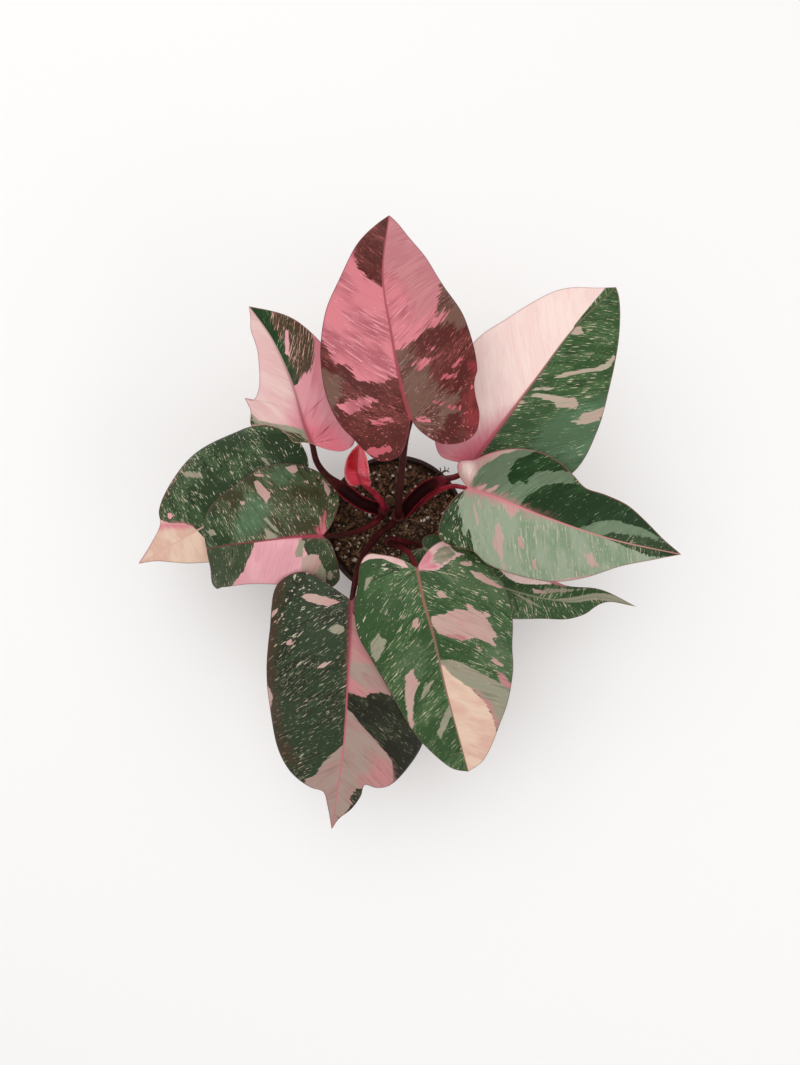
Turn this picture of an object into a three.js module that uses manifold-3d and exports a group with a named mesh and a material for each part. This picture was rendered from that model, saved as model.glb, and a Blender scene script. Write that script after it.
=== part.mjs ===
// Pink princess philodendron in its nursery pot: nine leaves, and a tenth still unrolling.
// Millimetres, +Z up. The origin is the centre of the pot's underside.

import * as THREE from 'three';
import { mergeVertices } from 'three/addons/utils/BufferGeometryUtils.js';
import Module from 'manifold-3d';

const wasm = await Module();
wasm.setup();

// ---------------------------------------------------------------- driving dimensions

const GAP = 0.3; // clearance between neighbouring solids

// Nursery pot: a tapered shell with a turned-down rim
const RIM_RADIUS = 50;
const POT_HEIGHT = 92;
const BASE_RADIUS = 35.5;
const MOUTH_RADIUS = 48.3; // outside of the wall where the rim turns out
const WALL = 1.2;
const FLOOR = 2;
const SKIRT_DROP = 8; // how far the rim turns down
const SKIRT_WALL = 1;
const RIM_ROUNDING = 0.6;
const DRAIN_HOLES = 8;
const DRAIN_RADIUS = 3.5;
const DRAIN_RING = 26;
const POT_SIDES = 40;

// Potting mix
const SOIL_EDGE = 87.5;
const SOIL_CROWN = 1.5; // how much higher the middle is
const SOIL_RELIEF = 0.9;
const CHIPS = 26;
const CHIP_RADIUS = [1.3, 2.6];
const CHIP_FIELD = 41; // radius of the round that the chips lie in
const STEM_DEPTH = 24; // length of stem below the surface

// Blades and stalks
const BLADE_HALF = 0.42; // half of the blade's thickness
const RIB_DEPTH = 1.1; // how far the midrib stands out below the blade
const RIB_START = 8; // distance from the base in which it rises
const RIB_TAPER = 0.8; // how much of its depth is lost at the tip
const RIB_REACH = 6; // how far from the midrib the blade's faces still follow it
const FAN_START = 3; // the lobes' side veins leave the midrib this far from the base
const VEIN_LEAN = 0.6; // a side vein leaves the midrib this far back for each mm across
const BLADE_ROWS = [0, 0.09, 0.42, 0.74, 1]; // rows of vertices from midrib to margin
const MARGIN_STEPS = 19;
const STALK_SIDES = 8;
const STALK_STEPS = 9;
const HOLLOW = 1.62; // how far an open sheath's upper half sinks, in units of its depth
const SHEATH_CLOSING = 0.55; // part of the sheath along which it is fully open
const STEM_RINGS = 4; // joints along a stem
const RING_HEIGHT = 0.35;
const STEM_TAPER = 0.45; // how much of its radius a stem loses at its rounded top

// Three short stems, each with its axis in plan, its radius and the height of its top
const STEMS = {
  stem_west: { at: [-8.5, 10.5], lean: [1, 1], radius: 4.4, top: 106 },
  stem_middle: { at: [2.5, 6.5], lean: [-0.5, 0.5], radius: 4.6, top: 108 },
  stem_front: { at: [-4.5, -11], lean: [1, -0.5], radius: 4.0, top: 100 },
};

// One entry for each leaf. midrib: points of the midrib from the leaf's base to its tip.
// A side's margin runs from the base round the lobe to the tip, as [part of the midrib's length,
// mm across]. fold is the angle at which that half leaves the midrib, up being positive, and curl
// is how far it has bent down again, in degrees, at span mm across.
// ripple is [height at the margin, waves along the leaf, phase].
// stalk: its route from inside a stem almost to the blade, and its radius at either end;
// sheath, where the stalk's foot is an open channel, is [half width, depth, part of the route].
const LEAVES = [
  {
    name: 'leaf_top',
    midrib: [[9, 55, 216], [4, 72, 220], [-1, 99, 217], [-6, 136, 204], [-3, 181, 176]],
    left: {
      fold: 8, curl: 30, span: 42,
      margin: [[-0.06, 4], [-0.12, 11], [-0.12, 22], [0, 33], [0.14, 40], [0.33, 39.5], [0.48, 33],
        [0.62, 23], [0.8, 14.5], [0.93, 6]],
    },
    right: {
      fold: 8, curl: 30, span: 42,
      margin: [[-0.05, 3], [-0.12, 12], [-0.14, 24], [-0.12, 32], [-0.06, 36.5], [0.02, 37.5],
        [0.15, 43], [0.33, 41.5], [0.54, 33.5], [0.72, 24], [0.86, 12.5], [0.95, 5]],
    },
    ripple: [2.2, 2.5, 0.6],
    stalk: { route: [[2, 6.5, 106], [3.2, 22, 142], [6.2, 46, 187]], radius: [3.1, 2] },
  },
  {
    name: 'leaf_back_left',
    midrib: [[-47, 46, 184], [-51, 57, 190], [-56, 78, 192], [-67, 105, 186], [-86, 129, 172]],
    left: {
      fold: 10, curl: 38, span: 30,
      margin: [[-0.025, 4], [0.01, 12], [0.075, 22], [0.17, 30.5], [0.3, 29.5], [0.39, 29.5],
        [0.43, 20], [0.52, 16], [0.72, 11], [0.88, 6.5]],
    },
    right: {
      fold: 0, curl: 25, span: 35,
      margin: [[-0.04, 4], [-0.08, 9], [-0.11, 15], [-0.1, 22], [0, 28], [0.22, 31], [0.4, 27.5],
        [0.56, 22], [0.73, 14.5], [0.88, 7]],
    },
    ripple: [1.2, 2, 2],
    stalk: {
      route: [[-10, 11, 103], [-22, 15, 114], [-32.5, 22.5, 130], [-42.5, 31, 146], [-47, 38, 162]],
      radius: [3, 1.7],
      sheath: [4.6, 4, 0.55],
    },
  },
  {
    name: 'leaf_left',
    midrib: [[-63, 27, 117], [-88, 17, 121], [-116, 6, 115], [-154, -13, 100], [-183, -27, 87]],
    left: {
      fold: 0, curl: 35, span: 40,
      margin: [[-0.08, 6], [-0.11, 16], [-0.08, 28], [0.02, 39], [0.2, 42], [0.42, 37], [0.61, 24],
        [0.73, 16.5], [0.8, 11], [0.89, 4.5]],
    },
    right: {
      fold: 5, curl: 42, span: 48,
      margin: [[-0.06, 8], [-0.08, 16], [-0.07, 30], [0.0, 51], [0.12, 58], [0.32, 58], [0.47, 54],
        [0.6, 45.5], [0.71, 34], [0.755, 26], [0.77, 17], [0.87, 8]],
    },
    ripple: [1.5, 2, 0],
    stalk: {
      route: [[-10, 12, 93.5], [-22, 15.5, 98], [-36, 21.5, 106], [-52, 26, 112]],
      radius: [2.4, 1.6],
    },
  },
  {
    name: 'leaf_left_front',
    midrib: [[-47, -7, 129], [-67, -8, 134], [-92, -11, 132], [-113, -13.5, 124], [-127, -16, 114]],
    left: {
      fold: -5, curl: 40, span: 40,
      margin: [[-0.06, 5], [-0.09, 12], [-0.12, 22], [-0.13, 33], [-0.05, 41], [0.12, 41], [0.3, 36],
        [0.5, 31], [0.72, 30], [0.88, 29.5], [0.99, 31], [0.995, 14]],
    },
    right: {
      fold: 5, curl: 30, span: 42,
      margin: [[-0.06, 6], [-0.11, 14], [-0.14, 23], [-0.13, 32], [-0.06, 40], [0.08, 48], [0.24, 51.5],
        [0.42, 50], [0.61, 43.5], [0.78, 34.5], [0.93, 23.5], [0.985, 15]],
    },
    ripple: [1, 2, 1],
    stalk: {
      route: [[-8.5, 8, 96.5], [-14, 2, 106], [-24, -3.5, 115.5], [-36, -6.5, 122.5]],
      radius: [2.6, 1.8],
    },
  },
  {
    name: 'leaf_front_left',
    midrib: [[-28, -49, 132], [-29, -77, 135], [-31, -109, 130], [-35, -152, 114], [-45, -215, 90]],
    left: {
      fold: 5, curl: 30, span: 48,
      margin: [[-0.04, 6], [-0.09, 16], [-0.1, 28], [-0.05, 42], [0.05, 50], [0.25, 55], [0.45, 57],
        [0.59, 55.5], [0.68, 47], [0.755, 35], [0.765, 26], [0.755, 18], [0.81, 16.5], [0.88, 11.5],
        [0.94, 4]],
    },
    right: {
      fold: 8, curl: 30, span: 48,
      margin: [[-0.02, 5], [-0.045, 12], [-0.08, 22], [-0.1, 31], [-0.09, 41], [-0.04, 52], [0.14, 55.5],
        [0.35, 55.5], [0.54, 52], [0.67, 44.5], [0.76, 33], [0.805, 19], [0.815, 10], [0.88, 5.5]],
    },
    ripple: [1.6, 2.5, 1.2],
    stalk: {
      route: [[0, 3, 100], [-11, -6, 107], [-19.5, -17, 115], [-25, -31, 123]],
      radius: [3.4, 2],
    },
  },
  {
    name: 'leaf_front',
    midrib: [[14, -27, 146], [18, -47, 151], [25, -72, 148], [34, -110, 134], [50, -168, 108]],
    left: {
      fold: 5, curl: 30, span: 45,
      margin: [[-0.05, 7], [-0.08, 14], [-0.09, 23], [-0.06, 33], [0.02, 46], [0.15, 54], [0.3, 55],
        [0.44, 50], [0.58, 47.5], [0.71, 39.5], [0.82, 27.5], [0.89, 20.5], [0.965, 11]],
    },
    right: {
      fold: 5, curl: 30, span: 45,
      margin: [[-0.03, 5], [-0.06, 12], [-0.085, 21], [-0.1, 29], [-0.07, 35], [0.02, 40], [0.18, 47],
        [0.34, 43], [0.51, 36], [0.73, 27.5], [0.86, 19], [0.96, 9.5]],
    },
    ripple: [1.5, 2, 2.5],
    stalk: {
      route: [[-3.5, -12, 98], [2, -14, 109], [9, -18, 127]],
      radius: [2.8, 1.9],
    },
  },
  {
    name: 'leaf_right',
    midrib: [[44, 22, 164], [63, 15, 170], [91, 4, 168], [134, -9, 154], [185, -19, 134]],
    left: {
      fold: 22, curl: -12, span: 36,
      margin: [[-0.05, 7], [-0.06, 14], [0, 18.5], [0.05, 24], [0.14, 33.5], [0.2, 36], [0.27, 35],
        [0.34, 31], [0.41, 26], [0.5, 26], [0.62, 24], [0.74, 17.5], [0.88, 7.5]],
    },
    right: {
      fold: 0, curl: 28, span: 36,
      margin: [[-0.03, 6], [-0.045, 12], [-0.06, 20], [-0.06, 29], [-0.04, 36], [0.03, 37.5], [0.1, 36],
        [0.2, 40.5], [0.34, 40], [0.47, 36.5], [0.58, 28.5], [0.71, 15.5], [0.87, 6.5]],
    },
    ripple: [1.3, 2, 0.5],
    stalk: {
      route: [[5, 6, 96], [16, 14, 104], [28, 22.5, 122], [36.5, 24.5, 144]],
      radius: [2.6, 1.5],
    },
  },
  {
    name: 'leaf_back_right',
    midrib: [[49, 39, 162], [58, 52, 168], [83, 85, 170], [109, 119, 163], [138, 148, 150]],
    left: {
      fold: 6, curl: 30, span: 40,
      margin: [[-0.04, 6], [-0.06, 12], [-0.07, 19], [-0.04, 26], [0.02, 33], [0.15, 41], [0.3, 45],
        [0.44, 43.5], [0.56, 36.5], [0.67, 30.5], [0.8, 22], [0.92, 8]],
    },
    right: {
      fold: 6, curl: 30, span: 44,
      margin: [[-0.05, 6], [-0.08, 14], [-0.07, 25], [-0.01, 37], [0.09, 49], [0.24, 56], [0.41, 51],
        [0.58, 42], [0.76, 30], [0.88, 18], [0.97, 6]],
    },
    ripple: [1.6, 2, 1.5],
    stalk: {
      route: [[4, 8, 103], [17, 22, 115], [29, 28.5, 129], [41, 31.5, 147]],
      radius: [2.8, 1.8],
      sheath: [4.6, 4, 0.6],
    },
  },
  {
    name: 'leaf_low_right',
    midrib: [[19, -15, 114], [44, -29, 117], [76, -43, 112], [114, -52, 102], [143, -50, 96],
      [170, -57, 92]],
    left: {
      fold: 0, curl: 50, span: 30,
      margin: [[-0.02, 4], [-0.01, 9], [0.04, 14], [0.13, 20], [0.28, 24], [0.45, 22], [0.61, 13.5],
        [0.74, 8.5], [0.87, 4]],
    },
    right: {
      fold: 0, curl: 50, span: 30,
      margin: [[-0.04, 6], [-0.07, 14], [-0.04, 24], [0.08, 30], [0.27, 29], [0.47, 20], [0.59, 14.5],
        [0.7, 13], [0.76, 11], [0.81, 7], [0.87, 2.5]],
    },
    ripple: [1, 2, 0],
    stalk: {
      route: [[-3, -9, 92.8], [6, -11, 96.5], [13, -12.5, 104]],
      radius: [2, 1.4],
    },
  },
];

// The youngest leaf, upright and still half rolled
const NEW_LEAF = {
  name: 'new_leaf',
  midrib: [[-17.5, 24.5, 129], [-21.5, 30, 143], [-22.5, 38, 162], [-21, 46, 184]],
  left: {
    fold: 25, curl: -60, span: 12,
    margin: [[0.04, 3], [0.16, 8], [0.35, 11.5], [0.58, 10.5], [0.82, 5]],
  },
  right: {
    fold: 25, curl: -60, span: 12,
    margin: [[0.06, 2.5], [0.2, 6.5], [0.38, 9], [0.6, 8.5], [0.82, 4.5]],
  },
  ripple: [0, 1, 0],
  stalk: {
    route: [[-7.6, 12.6, 107], [-10.5, 19, 117]],
    radius: [2.4, 1.6],
  },
};

// Papery remains of an old sheath, standing against the middle stem
const DRY_SHEATH = {
  route: [[-2.6, 13, 91.6], [-3.4, 14.4, 97], [-3.8, 15.4, 104]],
  halfWidth: 4.2,
  depth: 2.6,
};

const COLOURS = {
  pot: 0x2a2422,
  soil: 0x4a3527,
  stem: 0x5b4a35,
  stalk: 0x561a28,
  blade: 0x2f6a3c,
  pinkBlade: 0xd98e98,
  newLeaf: 0xc4263c,
  drySheath: 0x8a7355,
};

// ---------------------------------------------------------------- small helpers

const UP = new THREE.Vector3(0, 0, 1);

// Repeatable random numbers between 0 and 1.
function seededRandom(seed) {
  let state = seed;
  return () => {
    state = (state * 1664525 + 1013904223) % 4294967296;
    return state / 4294967296;
  };
}

function curveThrough(points) {
  const places = points.map((p) => new THREE.Vector3(...p));
  const path = new THREE.CatmullRomCurve3(places, false, 'catmullrom', 0.5);
  path.arcLengthDivisions = 300;
  return path;
}

// Closed geometry as a solid that can be cut and joined.
function toSolid(geometry) {
  const bare = geometry.clone();
  bare.deleteAttribute('normal');
  bare.deleteAttribute('uv');
  const merged = mergeVertices(bare, 1e-4);
  return new wasm.Manifold(
    new wasm.Mesh({
      numProp: 3,
      vertProperties: merged.getAttribute('position').array,
      triVerts: new Uint32Array(merged.index.array),
    }),
  );
}

// The largest piece of a solid, as geometry: crumbs that a cut leaves are dropped.
function toGeometry(solid) {
  const pieces = solid.decompose().sort((a, b) => b.volume() - a.volume());
  const mesh = pieces[0].getMesh();
  const geometry = new THREE.BufferGeometry();
  geometry.setAttribute('position', new THREE.BufferAttribute(mesh.vertProperties, 3));
  geometry.setIndex(new THREE.BufferAttribute(mesh.triVerts, 1));
  geometry.computeVertexNormals();
  return geometry;
}

function geometryFrom(positions, triangles) {
  const geometry = new THREE.BufferGeometry();
  geometry.setAttribute('position', new THREE.Float32BufferAttribute(positions.flat(), 3));
  geometry.setIndex(triangles.flat());
  geometry.computeVertexNormals();
  return geometry;
}

function namedMesh(name, geometry, color, roughness) {
  const material = new THREE.MeshStandardMaterial({ color, roughness, metalness: 0 });
  const mesh = new THREE.Mesh(geometry, material);
  mesh.name = name;
  return mesh;
}

// ---------------------------------------------------------------- stalks and stems

// Half width, depth and openness of a stalk at part u of its route. A sheathed stalk starts as an
// open channel and closes to a round stalk where the sheath ends.
function stalkSection({ radius, sheath }, u) {
  const round = THREE.MathUtils.lerp(radius[0], radius[1], u);
  if (!sheath) return { wide: round, deep: round, open: 0 };
  const [halfWidth, depth, end] = sheath;
  const open = 1 - THREE.MathUtils.smoothstep(u, end * SHEATH_CLOSING, end);
  return {
    wide: THREE.MathUtils.lerp(round, halfWidth, open),
    deep: THREE.MathUtils.lerp(round, depth, open),
    open,
  };
}

// Closed solid swept along a route. The section is a ring of points round the route; its upper
// half sinks into a hollow where the section is open.
function sweep(route, sectionAt, steps, sides, facing = UP) {
  const path = curveThrough(route);
  const positions = [];
  const triangles = [];
  for (let i = 0; i <= steps; i += 1) {
    const u = i / steps;
    const centre = path.getPointAt(u);
    const along = path.getTangentAt(u);
    const across = new THREE.Vector3().crossVectors(along, facing).normalize();
    const top = new THREE.Vector3().crossVectors(across, along);
    const { wide, deep, open } = sectionAt(u);
    for (let k = 0; k < sides; k += 1) {
      const angle = (2 * Math.PI * k) / sides;
      const hollow = Math.sin(angle) > 1e-6 ? 1 - HOLLOW * open : 1;
      const rise = open * deep * 0.5 * Math.cos(angle) ** 2;
      const point = centre
        .clone()
        .addScaledVector(across, wide * Math.cos(angle))
        .addScaledVector(top, deep * Math.sin(angle) * hollow + rise);
      positions.push(point.toArray());
    }
  }
  for (let i = 0; i < steps; i += 1) {
    for (let k = 0; k < sides; k += 1) {
      const [a, b] = [i * sides + k, i * sides + ((k + 1) % sides)];
      // Upper and lower faces are split along the same diagonal, or a thin sheath would cross itself.
      if (k < sides / 2) triangles.push([a, b + sides, b], [a, a + sides, b + sides]);
      else triangles.push([a, a + sides, b], [b, a + sides, b + sides]);
    }
  }
  // The end caps zigzag across the ring, which keeps them inside a hollow section too.
  const last = steps * sides;
  const half = sides / 2;
  for (let k = 0; k < half; k += 1) {
    const [a, b] = [k, k + 1];
    const [c, d] = [(sides - k) % sides, sides - k - 1];
    const caps = [[a, b, d], [a, d, c]].filter((t) => new Set(t).size === 3);
    caps.forEach(([p, q, r]) => {
      triangles.push([p, q, r], [last + r, last + q, last + p]);
    });
  }
  return geometryFrom(positions, triangles);
}

function stemGeometry({ at, lean, radius, top }, grow = 0) {
  const foot = SOIL_EDGE - STEM_DEPTH;
  const placeAt = (u) => [at[0] + lean[0] * u, at[1] + lean[1] * u, foot + (top - foot) * u];
  const route = [0, 0.5, 1].map(placeAt);
  route[0][2] -= grow;
  route[2][2] += grow;
  // A swollen ring at each joint of the stem, and a rounded top.
  const sectionAt = (u) => {
    const ring = RING_HEIGHT * Math.max(0, Math.cos(2 * Math.PI * STEM_RINGS * u)) ** 4;
    const crown = 1 - STEM_TAPER * THREE.MathUtils.smoothstep(u, 0.86, 1);
    const wide = radius * crown + ring + grow;
    return { wide, deep: wide, open: 0 };
  };
  return sweep(route, sectionAt, 12, 12, new THREE.Vector3(0, 1, 0));
}

// ---------------------------------------------------------------- leaves

// A blade as a curved sheet, measured along the midrib (x) and across it (w, left positive).
class LeafSheet {
  constructor(leaf) {
    this.leaf = leaf;
    this.path = curveThrough(leaf.midrib);
    this.length = this.path.getLength();
  }

  // Place on the midrib and the directions along it, to its left and up from it.
  frame(x) {
    const u = THREE.MathUtils.clamp(x / this.length, 0, 1);
    const along = this.path.getTangentAt(u);
    const left = new THREE.Vector3().crossVectors(UP, along).normalize();
    const up = new THREE.Vector3().crossVectors(along, left);
    const origin = this.path.getPointAt(u).addScaledVector(along, Math.min(x, 0));
    return { origin, along, left, up };
  }

  point(x, w) {
    const { origin, left, up } = this.frame(x);
    const side = w >= 0 ? this.leaf.left : this.leaf.right;
    const out = Math.abs(w);
    const fold = THREE.MathUtils.degToRad(side.fold);
    const bend = THREE.MathUtils.degToRad(side.curl) / side.span;
    const across = (Math.sin(fold) - Math.sin(fold - bend * out)) / bend;
    let height = (Math.cos(fold - bend * out) - Math.cos(fold)) / bend;
    const [wave, count, phase] = this.leaf.ripple;
    const turn = (2 * Math.PI * count * x) / this.length + phase + (w >= 0 ? 0 : 1.9);
    height += wave * (out / side.span) ** 2 * Math.sin(turn);
    return origin.addScaledVector(left, Math.sign(w) * across).addScaledVector(up, height);
  }

  // Direction out of the upper face. Close to the midrib it turns to the midrib's own up, so that
  // the two halves' faces meet without crossing.
  normal(x, w) {
    const { up } = this.frame(x);
    if (Math.abs(w) < 1e-6) return up;
    const step = 0.05;
    const inner = w - Math.sign(w) * step;
    const alongX = this.point(x + step, w).sub(this.point(x - step, w));
    const alongW = this.point(x, w).sub(this.point(x, inner)).multiplyScalar(Math.sign(w));
    const slope = alongX.cross(alongW).normalize();
    return up.lerp(slope, THREE.MathUtils.smoothstep(Math.abs(w), 0, RIB_REACH)).normalize();
  }

  // How far the midrib stands out below: nothing at the base, where the stalk meets it.
  ribDepth(x) {
    const taper = 1 - (RIB_TAPER * x) / this.length;
    return RIB_DEPTH * taper * THREE.MathUtils.smoothstep(x, 0, RIB_START);
  }

  // Margin of one side from base to tip, as [x, w] with w positive: the longest stretches of the
  // curve through the given points are halved until there are enough steps.
  margin(side) {
    const ends = [[0, 0], ...side.margin, [1, 0]];
    const flat = ends.map(([part, w]) => new THREE.Vector3(part * this.length, w, 0));
    const curve = new THREE.CatmullRomCurve3(flat, false, 'centripetal');
    const stretches = flat.length - 1;
    const places = flat.map((_, i) => i / stretches);
    while (places.length < MARGIN_STEPS + 1) {
      const points = places.map((p) => curve.getPoint(p));
      const reach = points.slice(1).map((point, i) => point.distanceTo(points[i]));
      const longest = reach.indexOf(Math.max(...reach));
      places.splice(longest + 1, 0, (places[longest] + places[longest + 1]) / 2);
    }
    return places.map((p) => curve.getPoint(p)).map(({ x, y }) => [x, Math.max(y, 0)]);
  }
}

// Closed blade: both faces share one net of triangles, joined round the margin.
function bladeGeometry(sheet) {
  const margins = { 1: sheet.margin(sheet.leaf.left), [-1]: sheet.margin(sheet.leaf.right) };
  const steps = MARGIN_STEPS;
  // Where the row of vertices that ends at margin step i starts on the midrib. The lobes' rows fan
  // out from just ahead of the base.
  const starts = [0];
  for (let i = 1; i < steps; i += 1) {
    const lean = [1, -1].map((s) => margins[s][i][0] - VEIN_LEAN * margins[s][i][1]);
    starts.push(Math.max((lean[0] + lean[1]) / 2, starts[i - 1], FAN_START));
  }
  starts.push(sheet.length);

  const positions = [];
  const known = new Map();
  const vertex = (side, i, j) => {
    const row = BLADE_ROWS[j];
    const [xEnd, wEnd] = margins[side][i];
    const x = starts[i] + (xEnd - starts[i]) * row;
    const w = side * wEnd * row;
    const key = `${x.toFixed(3)} ${Math.abs(w) < 1e-3 ? 0 : w.toFixed(3)}`;
    if (!known.has(key)) {
      known.set(key, positions.length / 2);
      const centre = sheet.point(x, w);
      const normal = sheet.normal(x, w);
      const rib = Math.abs(w) < 1e-3 ? sheet.ribDepth(x) : 0;
      positions.push(centre.clone().addScaledVector(normal, BLADE_HALF).toArray());
      positions.push(centre.clone().addScaledVector(normal, -BLADE_HALF - rib).toArray());
    }
    return known.get(key);
  };

  const triangles = [];
  const addFacing = (side, corners) => {
    const [p, q, r] = side > 0 ? corners : [corners[2], corners[1], corners[0]];
    if (p === q || q === r || r === p) return;
    triangles.push([2 * p, 2 * q, 2 * r], [2 * r + 1, 2 * q + 1, 2 * p + 1]);
  };
  [1, -1].forEach((side) => {
    for (let i = 0; i < steps; i += 1) {
      for (let j = 0; j < BLADE_ROWS.length - 1; j += 1) {
        const near = [vertex(side, i, j), vertex(side, i + 1, j)];
        const corners = [...near, vertex(side, i + 1, j + 1), vertex(side, i, j + 1)];
        addFacing(side, [corners[0], corners[1], corners[2]]);
        addFacing(side, [corners[0], corners[2], corners[3]]);
      }
      const rim = BLADE_ROWS.length - 1;
      const [from, to] = [vertex(side, i, rim), vertex(side, i + 1, rim)];
      const wall = [[2 * from, 2 * to, 2 * to + 1], [2 * from, 2 * to + 1, 2 * from + 1]];
      triangles.push(...(side > 0 ? wall : wall.map(([p, q, r]) => [r, q, p])));
    }
  });
  return geometryFrom(positions, triangles);
}

// Stalk from its stem to the underside of the blade's base. Its top edge stays clear of the blade,
// whatever its slope, and its foot is cut to fit round the stem.
function stalkGeometry(leaf, sheet, stemSpace) {
  const { route, ...shape } = leaf.stalk;
  const { origin, up } = sheet.frame(0);
  const approach = origin.clone().sub(new THREE.Vector3(...route.at(-1))).normalize();
  const slant = Math.sqrt(1 - approach.dot(up) ** 2);
  const end = origin.addScaledVector(up, -(BLADE_HALF + GAP + shape.radius[1] * slant));
  const sectionAt = (u) => stalkSection(shape, u);
  const swept = sweep([...route, end.toArray()], sectionAt, STALK_STEPS, STALK_SIDES);
  return toGeometry(toSolid(swept).subtract(stemSpace));
}

// ---------------------------------------------------------------- pot and potting mix

// Outer radius of the pot's wall at height z.
function wallRadius(z) {
  return BASE_RADIUS + ((MOUTH_RADIUS - BASE_RADIUS) * z) / POT_HEIGHT;
}

// A profile of [radius, height] points, turned about the pot's axis.
function turned(profile, segments) {
  const geometry = new THREE.LatheGeometry(profile.map(([r, z]) => new THREE.Vector2(r, z)), segments);
  return geometry.rotateX(Math.PI / 2);
}

function potGeometry() {
  const rimTop = POT_HEIGHT;
  const turn = rimTop - WALL; // height at which the rim turns outwards
  const profile = [
    [0, 0],
    [BASE_RADIUS - 1, 0],
    [BASE_RADIUS, 1],
    [wallRadius(turn), turn],
    [RIM_RADIUS - SKIRT_WALL, turn],
    [RIM_RADIUS - SKIRT_WALL, rimTop - SKIRT_DROP],
    [RIM_RADIUS, rimTop - SKIRT_DROP],
    [RIM_RADIUS, rimTop - RIM_ROUNDING],
    [RIM_RADIUS - RIM_ROUNDING, rimTop],
    [wallRadius(rimTop) - WALL + 0.4, rimTop],
    [wallRadius(turn) - WALL, turn],
    [wallRadius(FLOOR) - WALL, FLOOR],
    [0, FLOOR],
  ];
  let pot = toSolid(turned(profile, POT_SIDES));
  const drain = new THREE.CylinderGeometry(DRAIN_RADIUS, DRAIN_RADIUS, 4 * FLOOR, 12).rotateX(Math.PI / 2);
  for (let i = 0; i < DRAIN_HOLES; i += 1) {
    const angle = (2 * Math.PI * i) / DRAIN_HOLES;
    const hole = drain.clone().translate(DRAIN_RING * Math.cos(angle), DRAIN_RING * Math.sin(angle), 0);
    pot = pot.subtract(toSolid(hole));
  }
  return toGeometry(pot);
}

// Height of the potting mix: a low mound with small hollows and humps.
function soilHeight(x, y) {
  const edge = wallRadius(SOIL_EDGE) - WALL - GAP;
  const mound = SOIL_CROWN * (1 - (x * x + y * y) / (edge * edge));
  const humps = Math.sin(0.31 * x + 1.3) * Math.sin(0.27 * y + 0.4);
  const ridges = 0.6 * Math.sin(0.53 * x - 0.47 * y);
  return SOIL_EDGE + mound + SOIL_RELIEF * (humps + ridges);
}

function soilBody() {
  const sectors = POT_SIDES;
  const rings = 6;
  const foot = FLOOR + GAP;
  const radiusAt = (z) => wallRadius(z) - WALL - GAP;
  const positions = [[0, 0, foot], [0, 0, soilHeight(0, 0)]];
  const ringAt = [];
  const addRing = (radius, heightOf) => {
    ringAt.push(positions.length);
    for (let k = 0; k < sectors; k += 1) {
      const angle = (2 * Math.PI * k) / sectors;
      const [x, y] = [radius * Math.cos(angle), radius * Math.sin(angle)];
      positions.push([x, y, heightOf(x, y)]);
    }
  };
  addRing(radiusAt(foot), () => foot);
  for (let i = rings; i > 0; i -= 1) {
    const edge = radiusAt(SOIL_EDGE - 1.5 * SOIL_RELIEF);
    addRing((edge * i) / rings, soilHeight);
  }
  const triangles = [];
  for (let k = 0; k < sectors; k += 1) {
    const next = (k + 1) % sectors;
    triangles.push([0, ringAt[0] + next, ringAt[0] + k]);
    for (let i = 0; i < rings; i += 1) {
      const [low, high] = [ringAt[i], ringAt[i + 1]];
      triangles.push([low + k, low + next, high + next], [low + k, high + next, high + k]);
    }
    triangles.push([ringAt[rings] + k, ringAt[rings] + next, 1]);
  }
  return toSolid(geometryFrom(positions, triangles));
}

// Potting mix with chips of bark half sunk in it and a plain hole for each stem.
function soilGeometry(stemSpace) {
  const random = seededRandom(7);
  let soil = soilBody();
  for (let i = 0; i < CHIPS; i += 1) {
    const angle = 2 * Math.PI * random();
    const reach = CHIP_FIELD * Math.sqrt(random());
    const radius = THREE.MathUtils.lerp(...CHIP_RADIUS, random());
    const [x, y] = [reach * Math.cos(angle), reach * Math.sin(angle)];
    const chip = new THREE.IcosahedronGeometry(radius, 0)
      .scale(1, 0.7, 0.6)
      .rotateZ(Math.PI * random())
      .translate(x, y, soilHeight(x, y) + 0.15 * radius);
    soil = soil.add(toSolid(chip));
  }
  return toGeometry(soil.subtract(stemSpace));
}

// ---------------------------------------------------------------- assembly

const plant = new THREE.Group();

// The room that the stems need, with their clearance: the potting mix and the stalks are cut to it.
const grownStems = Object.values(STEMS).map((stem) => toSolid(stemGeometry(stem, GAP)));
const stemSpace = wasm.Manifold.union(grownStems);

plant.add(namedMesh('pot', potGeometry(), COLOURS.pot, 0.5));
plant.add(namedMesh('soil', soilGeometry(stemSpace), COLOURS.soil, 0.95));
Object.entries(STEMS).forEach(([name, stem]) => {
  plant.add(namedMesh(name, stemGeometry(stem), COLOURS.stem, 0.8));
});

[...LEAVES, NEW_LEAF].forEach((leaf) => {
  const sheet = new LeafSheet(leaf);
  const pink = ['leaf_top', 'leaf_back_left'].includes(leaf.name);
  const color = leaf === NEW_LEAF ? COLOURS.newLeaf : COLOURS[pink ? 'pinkBlade' : 'blade'];
  plant.add(namedMesh(`${leaf.name}_blade`, bladeGeometry(sheet), color, 0.35));
  plant.add(namedMesh(`${leaf.name}_stalk`, stalkGeometry(leaf, sheet, stemSpace), COLOURS.stalk, 0.4));
});

const { route, halfWidth, depth } = DRY_SHEATH;
const drySection = (u) => ({ wide: halfWidth * (1 - 0.45 * u * u), deep: depth, open: 0.9 });
const drySheath = sweep(route, drySection, 6, STALK_SIDES, new THREE.Vector3(0.4, -1, 0));
const fittedSheath = toGeometry(toSolid(drySheath).subtract(stemSpace));
plant.add(namedMesh('dry_sheath', fittedSheath, COLOURS.drySheath, 0.9));

export default plant;
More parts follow.
